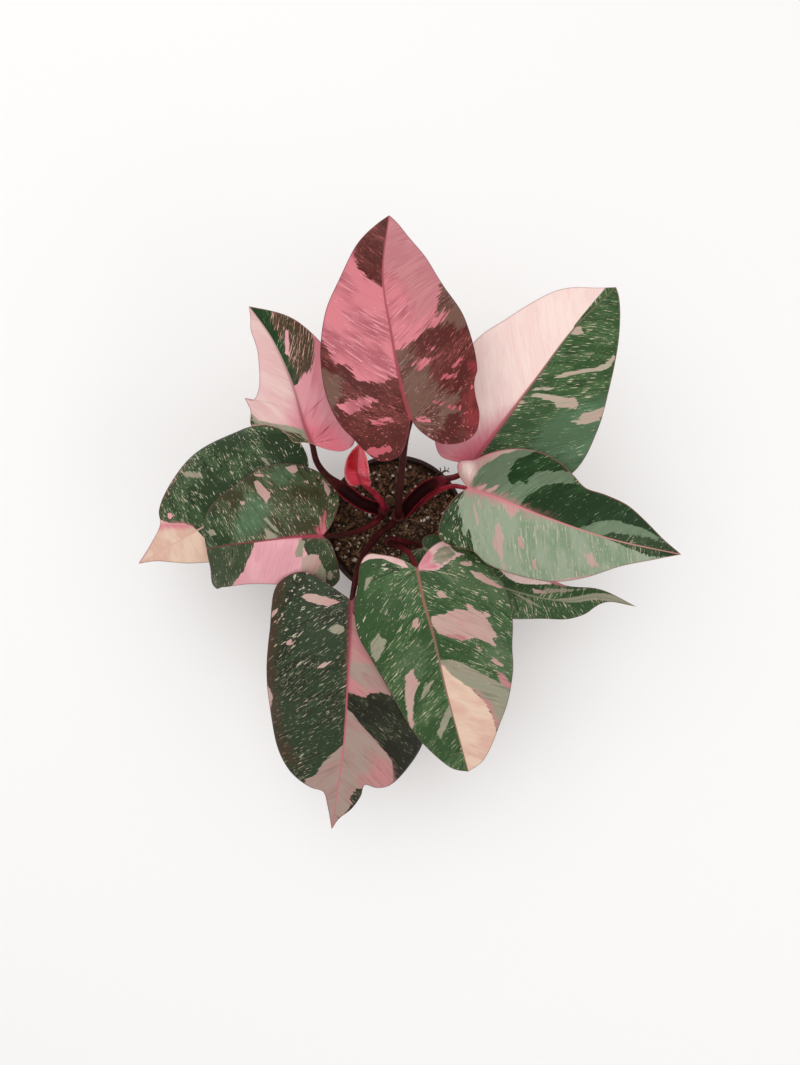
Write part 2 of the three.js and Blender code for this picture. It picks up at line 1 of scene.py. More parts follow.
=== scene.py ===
"""Pink princess philodendron in its nursery pot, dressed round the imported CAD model.

Sizes here are millimetres in the CAD model's frame (+Z up); a mesh takes them in metres.
On a leaf, x runs along the midrib from its base, and w across it, left of the midrib positive.
"""

import math
from collections import namedtuple

import bpy
import numpy as np
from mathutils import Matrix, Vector, noise


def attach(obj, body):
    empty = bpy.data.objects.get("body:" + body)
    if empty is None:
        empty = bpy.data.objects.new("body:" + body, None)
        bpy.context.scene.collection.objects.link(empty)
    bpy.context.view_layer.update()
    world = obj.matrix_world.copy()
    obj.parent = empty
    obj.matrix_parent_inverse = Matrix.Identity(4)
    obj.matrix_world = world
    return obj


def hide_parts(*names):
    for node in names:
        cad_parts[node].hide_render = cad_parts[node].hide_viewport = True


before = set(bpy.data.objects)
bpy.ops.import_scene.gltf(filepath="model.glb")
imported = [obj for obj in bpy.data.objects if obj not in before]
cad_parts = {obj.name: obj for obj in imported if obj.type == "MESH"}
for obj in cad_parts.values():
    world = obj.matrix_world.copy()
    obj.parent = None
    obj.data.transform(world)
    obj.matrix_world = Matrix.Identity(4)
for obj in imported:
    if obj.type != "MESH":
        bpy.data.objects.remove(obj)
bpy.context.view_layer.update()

MM = 0.001
UP = np.array([0.0, 0.0, 1.0])

# ---------------------------------------------------------------- sizes shared with the CAD model

RIM_RADIUS = 50
POT_HEIGHT = 92
BASE_RADIUS = 35.5
MOUTH_RADIUS = 48.3
WALL = 1.2
FLOOR = 2
SKIRT_DROP = 8
SKIRT_WALL = 1
DRAIN_HOLES = 8
DRAIN_RADIUS = 3.5
DRAIN_RING = 26

SOIL_EDGE = 87.5
SOIL_CROWN = 1.5
SOIL_RELIEF = 0.9
GAP = 0.3

BLADE_HALF = 0.42

# ---------------------------------------------------------------- sizes of the visible skin

SKIN_HALF = 0.26  # half of a blade's thickness
MARGIN_HALF = 0.13
FLAT_CENTRE = 6  # nearer than this to the midrib a blade's skin turns to the midrib's own up
RIPPLE_LAG = 1.9  # radians between the ripples of the two halves
BLADE_ROWS = 150
BLADE_COLUMNS = 38
CURVE_STEPS = 24  # places on a margin's curve from one of its points to the next
MARGIN_STEPS = 10  # even places on the margin for each row
EVEN_ROWS = 0.6  # how far the rows keep even steps along the margin rather than along the midrib
COLUMN_SPREAD = 1.35
ROW_SWEEP = 0.6
SWEEP_CHANGE = (0.2, 0.5)  # part of the margin over which the sweep goes from one value to another
TIP_TAPER = 0.8  # how much of the midrib and the veins is gone at the tip
RIB_GROOVE = 0.35
GROOVE_WIDTH = 1.0
RIB_DEPTH = 1.1
RIB_WIDTH = 1.3
VEIN_SPACING = 8
VEIN_GROOVE = 0.13
VEIN_SHARPNESS = 3
FAN_SPREAD = 20  # in the lobes behind the base the veins fan out: mm of pattern for each radian
FAN_START = 3

# Stretches over which a form of the blade's skin rises to its full height
RIB_RISE = (0, 8)  # from the base
GROOVE_RISE = (0, 6)
VEIN_RISE = (1, 6)  # from the midrib
VEIN_END = (1, 14)  # from the margin
EDGE_RISE = (0, 1.5)

PATH_STEPS = 1200  # places between which a curve's length is measured
NUDGE = 0.05
TINY = 1e-9

# Rings and sectors of the potting mix, and of the field on which its loose bits lie
SOIL_NET = (52, 160)
FIELD_NET = (24, 72)
CRUMB_PITCH = 0.35  # of the noise, for each mm
CRUMB_RELIEF = 1.5
CRUMB_DROP = 0.3
BIT_MARGIN = 1.6  # between the loose bits' places and the wall
BIT_SPIN = 3.14  # how far they turn either way about the vertical, in radians
BIT_WOBBLE = 2.6

# Three short stems: foot of the axis in plan, lean, radius and the height of the top
STEMS = {
    "stem_west": ((-8.5, 10.5), (1, 1), 4.4, 106),
    "stem_middle": ((2.5, 6.5), (-0.5, 0.5), 4.6, 108),
    "stem_front": ((-4.5, -11), (1, -0.5), 4.0, 100),
}
STEM_DEPTH = 24
STALK_BEND = 6  # length in which a stalk turns to run out under its midrib
BEND_PULL = 0.6  # of that length, for the bend's inner handles
RUN_OUT = 12
RUN_OUT_TAPER = 0.8
STALK_STEPS = 64
BEND_STEPS = 14
RUN_OUT_STEPS = 12
RUN_OUT_MOST = 0.2  # of the midrib, on a short leaf
RUN_OUT_START = 0.25
SHEATH_CLOSES = 0.55  # of its length, where an open sheath starts to close
STEM_STEPS = 60
STEM_RINGS = 4
RING_SWELL = 0.35
STEM_LUMPS = 0.9
STEM_SHOULDER = 0.84  # of the way up, where the rounded top starts
STEM_TAPER = 0.9
OLD_SHEATH_STEPS = 36
OLD_SHEATH_TAPER = 0.45
CRUMPLE = 2.2
ROOT_STEPS = 24
ROOT_TAPER = 0.7

POT_SIDES = 144
WALL_STEPS = 36
WALL_INSET = 0.75  # of the wall's outer face above the heel
# Shallow shelves out of the wall, above its base and where the pots nest: depth, and from what
# height to what height each one rises
WALL_SHELVES = ((0.45, 11.4, 12), (0.5, 70, 70.8))
HEEL_ROUND = 2
LIP_ROUND = 0.8
ARC_STEPS = 6
DRILL_SIDES = 28
DRILL_DEPTH = 20

# ---------------------------------------------------------------- stage

CAMERA_PLACE = (3.4, -4.8, 586)
CAMERA_LENS = 23.66
LIT_PLACE = (0, 0, 0.12)  # in metres
FLOOR_HALF = 2000
# Soft round lights: place and width in metres, and power in watts
LIGHTS = {
    "overhead": ((-0.35, 0.45, 1.7), 2.0, 15.5),
    "fill": ((1.3, -0.9, 1.2), 1.2, 5),
}
SKY_COLOUR = (1.0, 0.99, 0.98, 1.0)
SKY_STRENGTH = 0.66

# ---------------------------------------------------------------- finishes of a leaf

# ground, cloud, streak and fleck are colours, 0 to 255. rare is how high the noise stands before a
# fleck shows. A fine finish has stronger specks, and sharper dashes along the veins.
Finish = namedtuple("Finish", "ground cloud streak fleck rare fine", defaults=(False,))

FINISHES = {
    "rose": Finish((210, 123, 132), (172, 92, 102), (226, 146, 154), (238, 178, 184), 0.68),
    "mauve": Finish((188, 118, 123), (198, 130, 134), (172, 104, 110), (220, 150, 158), 0.7),
    "maroon": Finish((82, 31, 27), (108, 52, 46), (57, 23, 20), (188, 100, 102), 0.62, True),
    "umber": Finish((112, 80, 68), (88, 50, 43), (130, 104, 92), (188, 130, 124), 0.63, True),
    "crimson": Finish((152, 54, 60), (128, 46, 48), (104, 38, 38), (212, 98, 110), 0.64, True),
    "coral": Finish((186, 88, 98), (204, 118, 126), (168, 74, 84), (214, 136, 142), 0.75),
    "candy": Finish((218, 112, 128), (214, 124, 134), (200, 92, 112), (236, 156, 166), 0.72),
    "vein": Finish((180, 74, 98), (176, 70, 92), (170, 66, 88), (190, 84, 106), 0.75),
    "shell": Finish((244, 219, 211), (242, 212, 206), (238, 206, 200), (248, 228, 221), 0.75),
    "blush": Finish((224, 190, 185), (220, 178, 176), (214, 170, 168), (234, 204, 198), 0.75),
    "petal": Finish((217, 148, 156), (208, 128, 138), (198, 116, 130), (230, 172, 176), 0.75),
    "bloom": Finish((227, 168, 174), (222, 158, 166), (214, 150, 158), (234, 182, 186), 0.75),
    "cream": Finish((226, 196, 174), (215, 173, 155), (220, 188, 165), (234, 208, 188), 0.74),
    "dusty": Finish((190, 160, 150), (194, 150, 144), (174, 148, 134), (206, 174, 162), 0.72),
    "sage": Finish((148, 146, 124), (156, 144, 126), (120, 128, 102), (184, 178, 152), 0.68),
    "celadon": Finish((148, 160, 137), (124, 146, 116), (168, 168, 148), (200, 188, 168), 0.655),
    "verdigris": Finish((100, 116, 92), (108, 128, 101), (84, 104, 77), (160, 164, 138), 0.7),
    "forest": Finish((38, 58, 31), (60, 84, 52), (26, 40, 20), (190, 182, 156), 0.645),
    "meadow": Finish((50, 78, 42), (68, 98, 58), (34, 55, 26), (194, 186, 158), 0.642),
    "deep": Finish((26, 52, 22), (36, 66, 32), (16, 34, 13), (150, 168, 128), 0.68),
    "fern": Finish((72, 96, 62), (86, 108, 74), (58, 82, 50), (190, 182, 152), 0.65),
    "moss": Finish((54, 68, 43), (74, 84, 60), (40, 52, 30), (190, 178, 154), 0.65),
    "russet": Finish((70, 54, 39), (58, 58, 38), (50, 39, 28), (178, 132, 118), 0.66),
    "oat": Finish((178, 168, 148), (186, 160, 146), (160, 158, 134), (200, 186, 168), 0.72),
    # The next finish is painted shade: the young leaf's red made deeper where its pocket is cupped.
    "cherry": Finish((192, 26, 36), (200, 38, 48), (176, 20, 30), (210, 66, 78), 0.76),
    "slate": Finish((44, 58, 37), (36, 40, 26), (60, 80, 54), (190, 180, 158), 0.645),
    "night": Finish((33, 33, 22), (44, 48, 32), (23, 24, 17), (150, 146, 120), 0.66),
    "olive": Finish((56, 58, 34), (76, 92, 60), (40, 40, 24), (198, 170, 150), 0.63),
    # The next finish is painted sheen: a paler bluish green that stands in for a broad highlight on green
    # skin.
    "teal": Finish((78, 104, 74), (88, 118, 86), (60, 86, 60), (170, 178, 148), 0.66),
    "bronze": Finish((74, 56, 38), (60, 62, 36), (50, 38, 26), (206, 158, 142), 0.6),
    "clay": Finish((163, 141, 130), (168, 132, 126), (142, 122, 108), (186, 156, 146), 0.74),
    "rosewood": Finish((182, 134, 129), (190, 128, 130), (160, 118, 112), (206, 158, 152), 0.74),
    "jade": Finish((112, 132, 104), (102, 122, 95), (126, 144, 116), (168, 170, 144), 0.7),
    "scarlet": Finish((236, 74, 94), (240, 92, 108), (222, 56, 74), (248, 130, 140), 0.76),
    # The next finish is the pink of the young leaf's margins, and also a painted highlight on its right half.
    "rouge": Finish((240, 140, 150), (244, 160, 166), (230, 112, 126), (248, 184, 188), 0.76),
}

# The four noises of a leaf's skin, for cloud, streak, dashes and specks: mm across the veins, mm
# along them and detail
LEAF_NOISE = ((15, 22), (1.5, 15, 3), (0.7, 5), (0.48, 1.7))
LEAF_PAGE = 7.3  # how far apart in the noise two leaves lie
HALF_PAGE = 31  # and the two halves of one leaf

# Least roughness, and the shine
LEAF_SKIN = (0.38, {"specular": 0.16})
GLOSSY_SKIN = (0.1, {"specular": 0.5, "coat": 1.0})
UNDERSIDE = (128, 66, 70)

# A patch of a finish: its side (1 left, -1 right, 0 both), the outlines that it fills as (x, w)
# points, how soft its edge is and how far the edge runs out along the veins, in mm.
Patch = namedtuple("Patch", "finish side outlines soft jag", defaults=(0.25, 4.0))
LEFT = 1
RIGHT = -1
BOTH = 0

# ---------------------------------------------------------------- leaves

# midrib and margins are the CAD model's: a margin runs from the base round the lobe to the tip as
# (part of the midrib's length, mm across). fold is the angle at which a half leaves the midrib, and
# curl how far it has bent down again at span mm across, in degrees. sweep is how far forward the
# mesh's rows run for each mm across, at the base and at the tip; a left half that has its own also
# sets where the rows start. ripple is the height of the waves at that span, how many there are and
# where they start, in radians. veins is how far forward the side veins lean for each mm across, and
# how much more for each square mm. grounds are the finishes of the left and the right half. rib is
# the midrib's colour at the base and at the tip, and how far it spreads beside it, in mm.
# A stalk has its route, its radius at the foot and at the head, the width, the depth and the part of
# its length that its sheath has, and its colours at the foot and at the head.
Side = namedtuple("Side", "fold curl span margin sweep", defaults=(None,))
Leaf = namedtuple("Leaf", "midrib left right ripple stalk veins grounds rib edge patches")
Stalk = namedtuple("Stalk", "route radius sheath colours", defaults=(None, ("wine", "plum")))

LEAVES = {}

LEAVES["leaf_top"] = Leaf(
    midrib=[(9, 55, 216), (4, 72, 220), (-1, 99, 217), (-6, 136, 204), (-3, 181, 176)],
    left=Side(8, 30, 42, [
        (-0.06, 4), (-0.12, 11), (-0.12, 22), (0, 33), (0.14, 40), (0.33, 39.5), (0.48, 33),
        (0.62, 23), (0.8, 14.5), (0.93, 6)]),
    right=Side(8, 30, 42, [
        (-0.05, 3), (-0.12, 12), (-0.14, 24), (-0.12, 32), (-0.06, 36.5), (0.02, 37.5),
        (0.15, 43), (0.33, 41.5), (0.54, 33.5), (0.72, 24), (0.86, 12.5), (0.95, 5)]),
    ripple=(2.2, 2.5, 0.6),
    stalk=Stalk([(2, 6.5, 106), (3.2, 22, 142), (6.2, 46, 187)], (2.7, 1.5), None, ("plum", "plum")),
    veins=(0.75, 0.006),
    grounds=("rose", "rose"),
    rib=((150, 62, 72), (168, 84, 92), 1.6),
    edge=(120, 48, 58),
    patches=[
        Patch("mauve", RIGHT, [
            [(140, 3), (125, -14), (95, -34), (78, -33), (70, -30), (57, -25), (51, -14), (67, -14),
             (85, -5), (92, 3)]], 4.0, 12.0),
        Patch("maroon", LEFT, [
            [(140, -4), (90, -3), (76, 1), (78, 2), (82, 8), (87, 12), (95, 15), (112, 19), (130, 16)],
            [(54, 42), (52, 38), (48, 35), (42, 34), (37, 32), (35, 27), (30, 23), (25, 21), (23, 15),
             (21, 8), (23, 6), (22, -3), (0, -3), (-30, 4), (-30, 34), (8, 50), (36, 50)]]),
        Patch("umber", LEFT, [
            [(40, 44), (33, 37), (30, 31), (26, 29), (20, 32), (14, 38), (18, 46)]], 1.5, 6.0),
        Patch("umber", RIGHT, [
            [(82, -38), (78, -31), (72, -31), (64, -28), (60, -27), (55, -25), (52, -26), (56, -32),
             (50, -28), (48, -26), (47, -22), (46, -18), (43, -14), (41, -11), (39, -6), (36, 3),
             (0, 3), (-13, -5), (-26, -14), (-26, -40), (23, -50), (56, -48)]], 0.3, 6.0),
        Patch("maroon", RIGHT, [
            [(46, -20), (43, -14), (40, -10), (34, -8), (28, -16), (18, -17), (9, -20), (2, -30),
             (-4, -20), (-14, -8), (-26, -14), (-26, -40), (23, -50), (46, -48), (45, -38), (47, -30)]],
            1.6, 10.0),
        Patch("crimson", RIGHT, [
            [(24, -38), (14, -41), (2, -34), (-7, -28), (-14, -28), (-22, -33), (-12, -44), (23, -50)]],
            4.0, 6.0),
        Patch("rose", LEFT, [
            [(17, 36), (17, 30), (16, 18), (14, 14), (12.5, 20), (12.5, 30), (15, 36)]], 0.25, 4.0),
        Patch("coral", LEFT, [
            [(6, 20), (4, 10), (2, 9), (2.5, 15), (3, 20)],
            [(-8, 28), (-9, 22), (-9, 14), (-12, 14), (-14, 20), (-12, 28)]], 0.25, 4.0),
        Patch("coral", RIGHT, [
            [(28, -7), (29, -11), (29, -19), (26, -15), (24, -10), (27, -13)],
            [(17, -21), (19, -24), (18, -30), (15.5, -25)],
            [(5, -15), (4, -20), (2, -19), (3, -15)],
            [(2, -20), (-1, -25), (-4, -31), (-5, -28), (-1, -21)],
            [(0, -3), (-2, -10), (-4, -8), (-2, -3)],
            [(23, -29), (29, -37), (27, -35), (22, -30)],
            [(35, -17), (37, -24), (33, -20)]], 0.25, 4.5),
    ],
)

LEAVES["leaf_back_left"] = Leaf(
    midrib=[(-47, 46, 184), (-51, 57, 190), (-57, 78, 192), (-69.5, 105, 186), (-86, 129, 172)],
    left=Side(10, 38, 30, [
        (0.03, 4), (0.05, 9), (0.11, 11.5), (0.15, 15), (0.185, 24), (0.195, 31), (0.274, 29),
        (0.32, 28.3), (0.367, 28.7), (0.412, 28.8), (0.386, 26.6), (0.37, 24.6), (0.374, 23),
        (0.394, 20.6), (0.424, 18.3), (0.473, 16.1), (0.559, 13.2), (0.651, 10.5), (0.734, 9),
        (0.823, 7.3), (0.907, 3.4)], (0.1, 0.85)),
    right=Side(0, 25, 35, [
        (-0.04, 4), (-0.08, 9), (-0.11, 15), (-0.1, 22), (0, 28), (0.22, 31), (0.4, 27.5),
        (0.56, 24), (0.73, 17), (0.88, 8)]),
    ripple=(1.2, 2, 2),
    stalk=Stalk(
        [(-10, 11, 103), (-22, 15, 114), (-32.5, 22.5, 130), (-42.5, 31, 146), (-47, 38, 162)],
        (2.8, 1.5), (4.6, 4, 0.55), ("wine", "plum")),
    veins=(1.2, 0.01),
    grounds=("blush", "petal"),
    rib=((158, 70, 84), (190, 158, 150), 3.0),
    edge=(170, 118, 112),
    patches=[
        Patch("petal", LEFT, [[(30, -3), (22, 6), (14, 10), (10, 20), (-6, 14), (-6, -3)]], 7.0, 4.0),
        Patch("candy", RIGHT, [[(16, 3), (10, -6), (4, -16), (-14, -22), (-14, 3)]], 8.0, 4.0),
        Patch("deep", RIGHT, [
            [(104, 3), (34, 3), (35, -3), (40, -8), (45, -12), (52, -15.5), (58, -17.5), (63, -17.5),
             (72, -14.5), (84, -9.5), (94, -8)]], 0.25, 1.5),
        Patch("bronze", RIGHT, [
            [(86, -12), (82, -6), (72, -4.5), (60, -5), (47, -3), (38, -3), (40, -14), (57, -22),
             (72, -20), (84, -14)]], 1.0, 4.0),
        Patch("bloom", RIGHT, [
            [(68, -9.5), (66, -11), (60, -8), (52, -4.5), (54, -3), (61, -6)]], 0.25, 1.5),
        Patch("sage", LEFT, [
            [(30, 33), (28, 28.5), (21, 25), (17, 16), (14.5, 9), (10, 1), (0, -3), (-6, 8), (0, 20),
             (14, 38)]], 0.4, 0.5),
        Patch("olive", LEFT, [
            [(29, 36), (26, 29), (19, 28), (15, 36)],
            [(16.5, 20), (13, 12), (8.5, 4), (2, 1), (-6, 6), (2, 20)]], 0.6, 1.0),
        Patch("vein", RIGHT, [
            [(17, -2), (21.5, -9), (25, -16), (20.8, -9)],
            [(2, -2), (5.2, -9), (8, -18), (4.4, -10)],
            [(0, -2), (-1, -10), (-4, -20), (-1.7, -10)]], 0.4, 0.4),
    ],
)

LEAVES["leaf_left"] = Leaf(
    midrib=[(-63, 27, 117), (-88, 17, 121), (-116, 6, 115), (-154, -13, 100), (-183, -27, 87)],
    left=Side(0, 35, 40, [
        (-0.08, 6), (-0.11, 16), (-0.08, 28), (0.02, 39), (0.2, 42), (0.42, 37), (0.61, 24),
        (0.73, 16.5), (0.8, 11), (0.89, 4.5)]),
    right=Side(5, 42, 48, [
        (-0.06, 8), (-0.08, 16), (-0.07, 30), (0.0, 51), (0.12, 58), (0.32, 58), (0.47, 54),
        (0.6, 45.5), (0.71, 34), (0.755, 26), (0.77, 17), (0.87, 8)]),
    ripple=(1.5, 2, 0),
    stalk=Stalk([(-10, 12, 93.5), (-22, 15.5, 98), (-36, 21.5, 106), (-52, 26, 112)], (2.1, 1.4), None,
                ("berry", "plum")),
    veins=(0.1, 0.003),
    grounds=("forest", "forest"),
    rib=((150, 70, 76), (214, 172, 154), 1.6),
    edge=(104, 44, 54),
    patches=[
        Patch("bronze", RIGHT, [
            [(-12, -34), (0, -50), (10, -58), (12, -66), (-16, -60)],
            [(70, -50), (84, -40), (100, -30), (104, -22), (112, -34), (80, -58)]], 4.0, 5.0),
        Patch("cream", BOTH, [
            [(108, -30), (104, -19), (98, -14), (89, -10), (82, -4), (79, 4), (76, 14), (74, 40),
             (120, 30), (150, 4), (128, -20)]], 0.3, 1.0),
        Patch("petal", BOTH, [
            [(107, -19), (98, -14), (89, -10), (82, -4), (86, -4), (100, -11), (112, -14), (142, -2),
             (138, 0), (142, 4), (120, -8), (114, -20)]], 2.5, 2.0),
        Patch("sage", RIGHT, [
            [(79, -45), (70, -41), (62, -35), (61, -29.5), (66, -33), (73, -38)],
            [(74, -27.5), (66, -20.5), (58, -12), (65, -19)],
            [(18, -27), (16, -21), (13.5, -19.5), (13.5, -25)]], 0.25, 2.5),
        Patch("bloom", RIGHT, [[(99, -20), (95, -21), (92, -17), (98, -16)]], 0.25, 2.5),
    ],
)

LEAVES["leaf_left_front"] = Leaf(
    midrib=[(-47, -7, 129), (-67, -8, 134), (-92, -11, 132), (-113, -13.5, 124), (-127, -16, 114)],
    left=Side(-5, 40, 40, [
        (-0.06, 5), (-0.09, 12), (-0.12, 22), (-0.13, 33), (-0.05, 41), (0.12, 41), (0.3, 36),
        (0.5, 31), (0.67, 29.5), (0.93, 30), (1.03, 29.5), (1.1, 30), (1.11, 26), (1.075, 20),
        (1.03, 13)]),
    right=Side(5, 30, 42, [
        (-0.06, 6), (-0.11, 14), (-0.14, 23), (-0.13, 32), (-0.06, 40), (0.08, 48), (0.24, 51.5),
        (0.42, 50), (0.61, 43.5), (0.78, 34.5), (0.93, 23.5), (0.985, 15)]),
    ripple=(1, 2, 1),
    stalk=Stalk([(-8.5, 8, 96.5), (-14, 2, 106), (-24, -3.5, 115.5), (-36, -6.5, 122.5)], (2.2, 1.4)),
    veins=(0.4, 0.003),
    grounds=("moss", "olive"),
    rib=((158, 56, 76), (112, 56, 54), 2.6),
    edge=(120, 60, 64),
    patches=[
        # Painted sheen: these paler bluish-green patches stand in for a broad highlight on this half.
        Patch("teal", RIGHT, [
            [(47, -31), (37, -28), (33, -16), (39, -6), (53, -3), (61, -7), (54, -19)],
            [(24, -50), (16, -46), (14, -38), (24, -36), (30, -44)]], 6.0, 7.0),
        Patch("forest", RIGHT, [[(90, -24), (66, -24), (60, -8), (62, 3), (90, 3)]], 5.0, 4.0),
        Patch("bloom", LEFT, [
            [(44, -3), (46, 3), (48, 7), (52, 11), (55, 15), (58, 19), (65, 23), (76, 28), (84, 31),
             (76, 40), (40, 46), (10, 46), (8, 20), (12, 8), (15, -3)]], 0.25, 1.5),
        Patch("dusty", LEFT, [
            [(14, 14), (8, 12), (2, 12), (1, 17), (1, 22), (4, 27), (15, 29), (15, 21)]], 0.25, 2.0),
        Patch("moss", LEFT, [
            [(12, -3), (11, 3), (5, 12), (2, 13), (1, 22), (-4, 30), (-8, 46), (-22, 40), (-16, -3)]],
            0.3, 3.0),
        Patch("sage", LEFT, [
            [(18, 7), (15, 1), (12, 3), (13, 8), (14, 13), (19, 13)],
            [(2, 19), (0, 20), (-2, 26), (-2, 34), (1, 36), (5, 28)],
            [(-5, 24), (-7, 28), (-6, 32), (-3, 30), (-3, 25)]], 0.25, 2.0),
        Patch("dusty", RIGHT, [
            [(43, -40), (40, -41), (36, -36), (31, -31), (31, -28), (34, -24), (37, -29), (39, -31)],
            [(21, -48), (14, -50), (13, -45), (16, -43), (18, -44)],
            [(43, -46), (36, -45), (34, -43), (39, -43)],
            [(54, -28), (49, -27), (50, -25), (53, -25)],
            [(-2, -40), (-6, -33), (-8, -30), (-5, -25), (-3, -31)]], 0.25, 1.5),
        Patch("sage", RIGHT, [
            [(37, -14), (35, -15), (28, -5), (28, -4), (31, -6), (34, -10)],
            [(37, -8), (29, -2), (29, 2), (37, 2)],
            [(82, -12), (75, -12), (72, -8), (79, -8)]], 0.25, 1.0),
        Patch("coral", RIGHT, [
            [(1, 2), (6, -7), (5, -3), (3, -7), (2, -3), (1, -13), (0, -13), (0, -4), (-2, -17),
             (-3, -16), (-2, -6), (-4, 2)]], 0.7, 1.5),
        Patch("dusty", RIGHT, [
            [(72, -40), (62, -46), (50, -50), (50, -48), (62, -42), (70, -36)]], 0.6, 2.0),
    ],
)

LEAVES["leaf_front_left"] = Leaf(
    midrib=[(-28, -49, 132), (-29, -77, 135), (-31, -109, 130), (-35, -152, 114), (-45, -215, 90)],
    left=Side(5, 30, 48, [
        (-0.04, 6), (-0.09, 16), (-0.1, 28), (-0.05, 42), (0.05, 50), (0.25, 55), (0.45, 57),
        (0.59, 55.5), (0.68, 47), (0.755, 35), (0.765, 26), (0.755, 18), (0.81, 16.5), (0.88, 11.5),
        (0.94, 4)]),
    right=Side(8, 30, 48, [
        (-0.02, 5), (-0.045, 12), (-0.08, 22), (-0.1, 31), (-0.09, 41), (-0.04, 52), (0.14, 55.5),
        (0.35, 55.5), (0.54, 52), (0.67, 44.5), (0.76, 33), (0.805, 19), (0.815, 10), (0.88, 5.5)]),
    ripple=(1.6, 2.5, 1.2),
    stalk=Stalk(
        [(0, 3, 100), (-11, -6, 107), (-19.5, -17, 115), (-25, -31, 123)], (2.7, 1.6), None,
        ("plum", "plum")),
    veins=(0.75, 0.004),
    grounds=("rosewood", "slate"),
    rib=((148, 72, 80), (196, 104, 116), 3.0),
    edge=(104, 58, 58),
    patches=[
        Patch("russet", RIGHT, [
            [(-20, -44), (0, -46), (30, -49), (70, -49), (100, -44), (125, -28), (120, -60), (40, -64),
             (-20, -60)]], 5.0, 6.0),
        Patch("slate", LEFT, [[(0, -3), (10, 2), (8, 6), (-2, 10), (-30, 8), (-30, -3)]], 0.4, 2.0),
        Patch("clay", LEFT, [[(39, -3), (40, 14), (48, 34), (66, 34), (61, 26), (57, 13), (49, -1)]],
              0.8, 3.0),
        Patch("night", LEFT, [
            [(60, -3), (61, 5), (64, 12), (60, 14), (60, 17), (59, 20), (61, 29), (64, 64), (115, 70),
             (140, 50), (138, 35), (127, 37), (113, 34), (105, 28), (95, 20), (85, 11), (76, 4),
             (70, -3)]], 0.25, 2.5),
        Patch("clay", LEFT, [
            [(70, -3), (76, 4), (85, 11), (95, 20), (105, 28), (113, 34), (127, 37), (140, 38),
             (136, 20), (180, 10), (180, -3)]], 0.25, 1.5),
        Patch("clay", RIGHT, [
            [(96, 3), (101, 0), (109, -6), (117, -12), (128, -16), (137, -24), (147, -14), (180, -6),
             (180, 3)]], 0.25, 3.0),
        Patch("rosewood", LEFT, [
            [(104, 20), (112, 32), (128, 38), (140, 36), (136, 20), (126, 12), (120, 22)]], 4.0, 5.0),
        Patch("night", LEFT, [
            [(135, 14), (134, 22), (150, 18), (166, 8), (164, 4), (158, 8), (150, 11), (145, 9)]],
            0.3, 3.0),
        Patch("dusty", RIGHT, [
            [(-2, -34), (-4, -29), (-2, -16), (1, -7), (4, -15), (2, -27)],
            [(45, -23), (40, -14), (39, -11), (44, -16)],
            [(30, -43), (27, -39), (30, -36), (32, -40)],
            [(13, -55), (8, -54), (6, -49), (10, -50)],
            [(62, -60), (66, -53), (72, -51), (82, -52), (92, -56), (92, -62)]], 0.25, 1.5),
        Patch("sage", RIGHT, [
            [(19, -16), (15, -8), (17, -4), (20, -4), (22, -9)]], 0.25, 1.5),
    ],
)

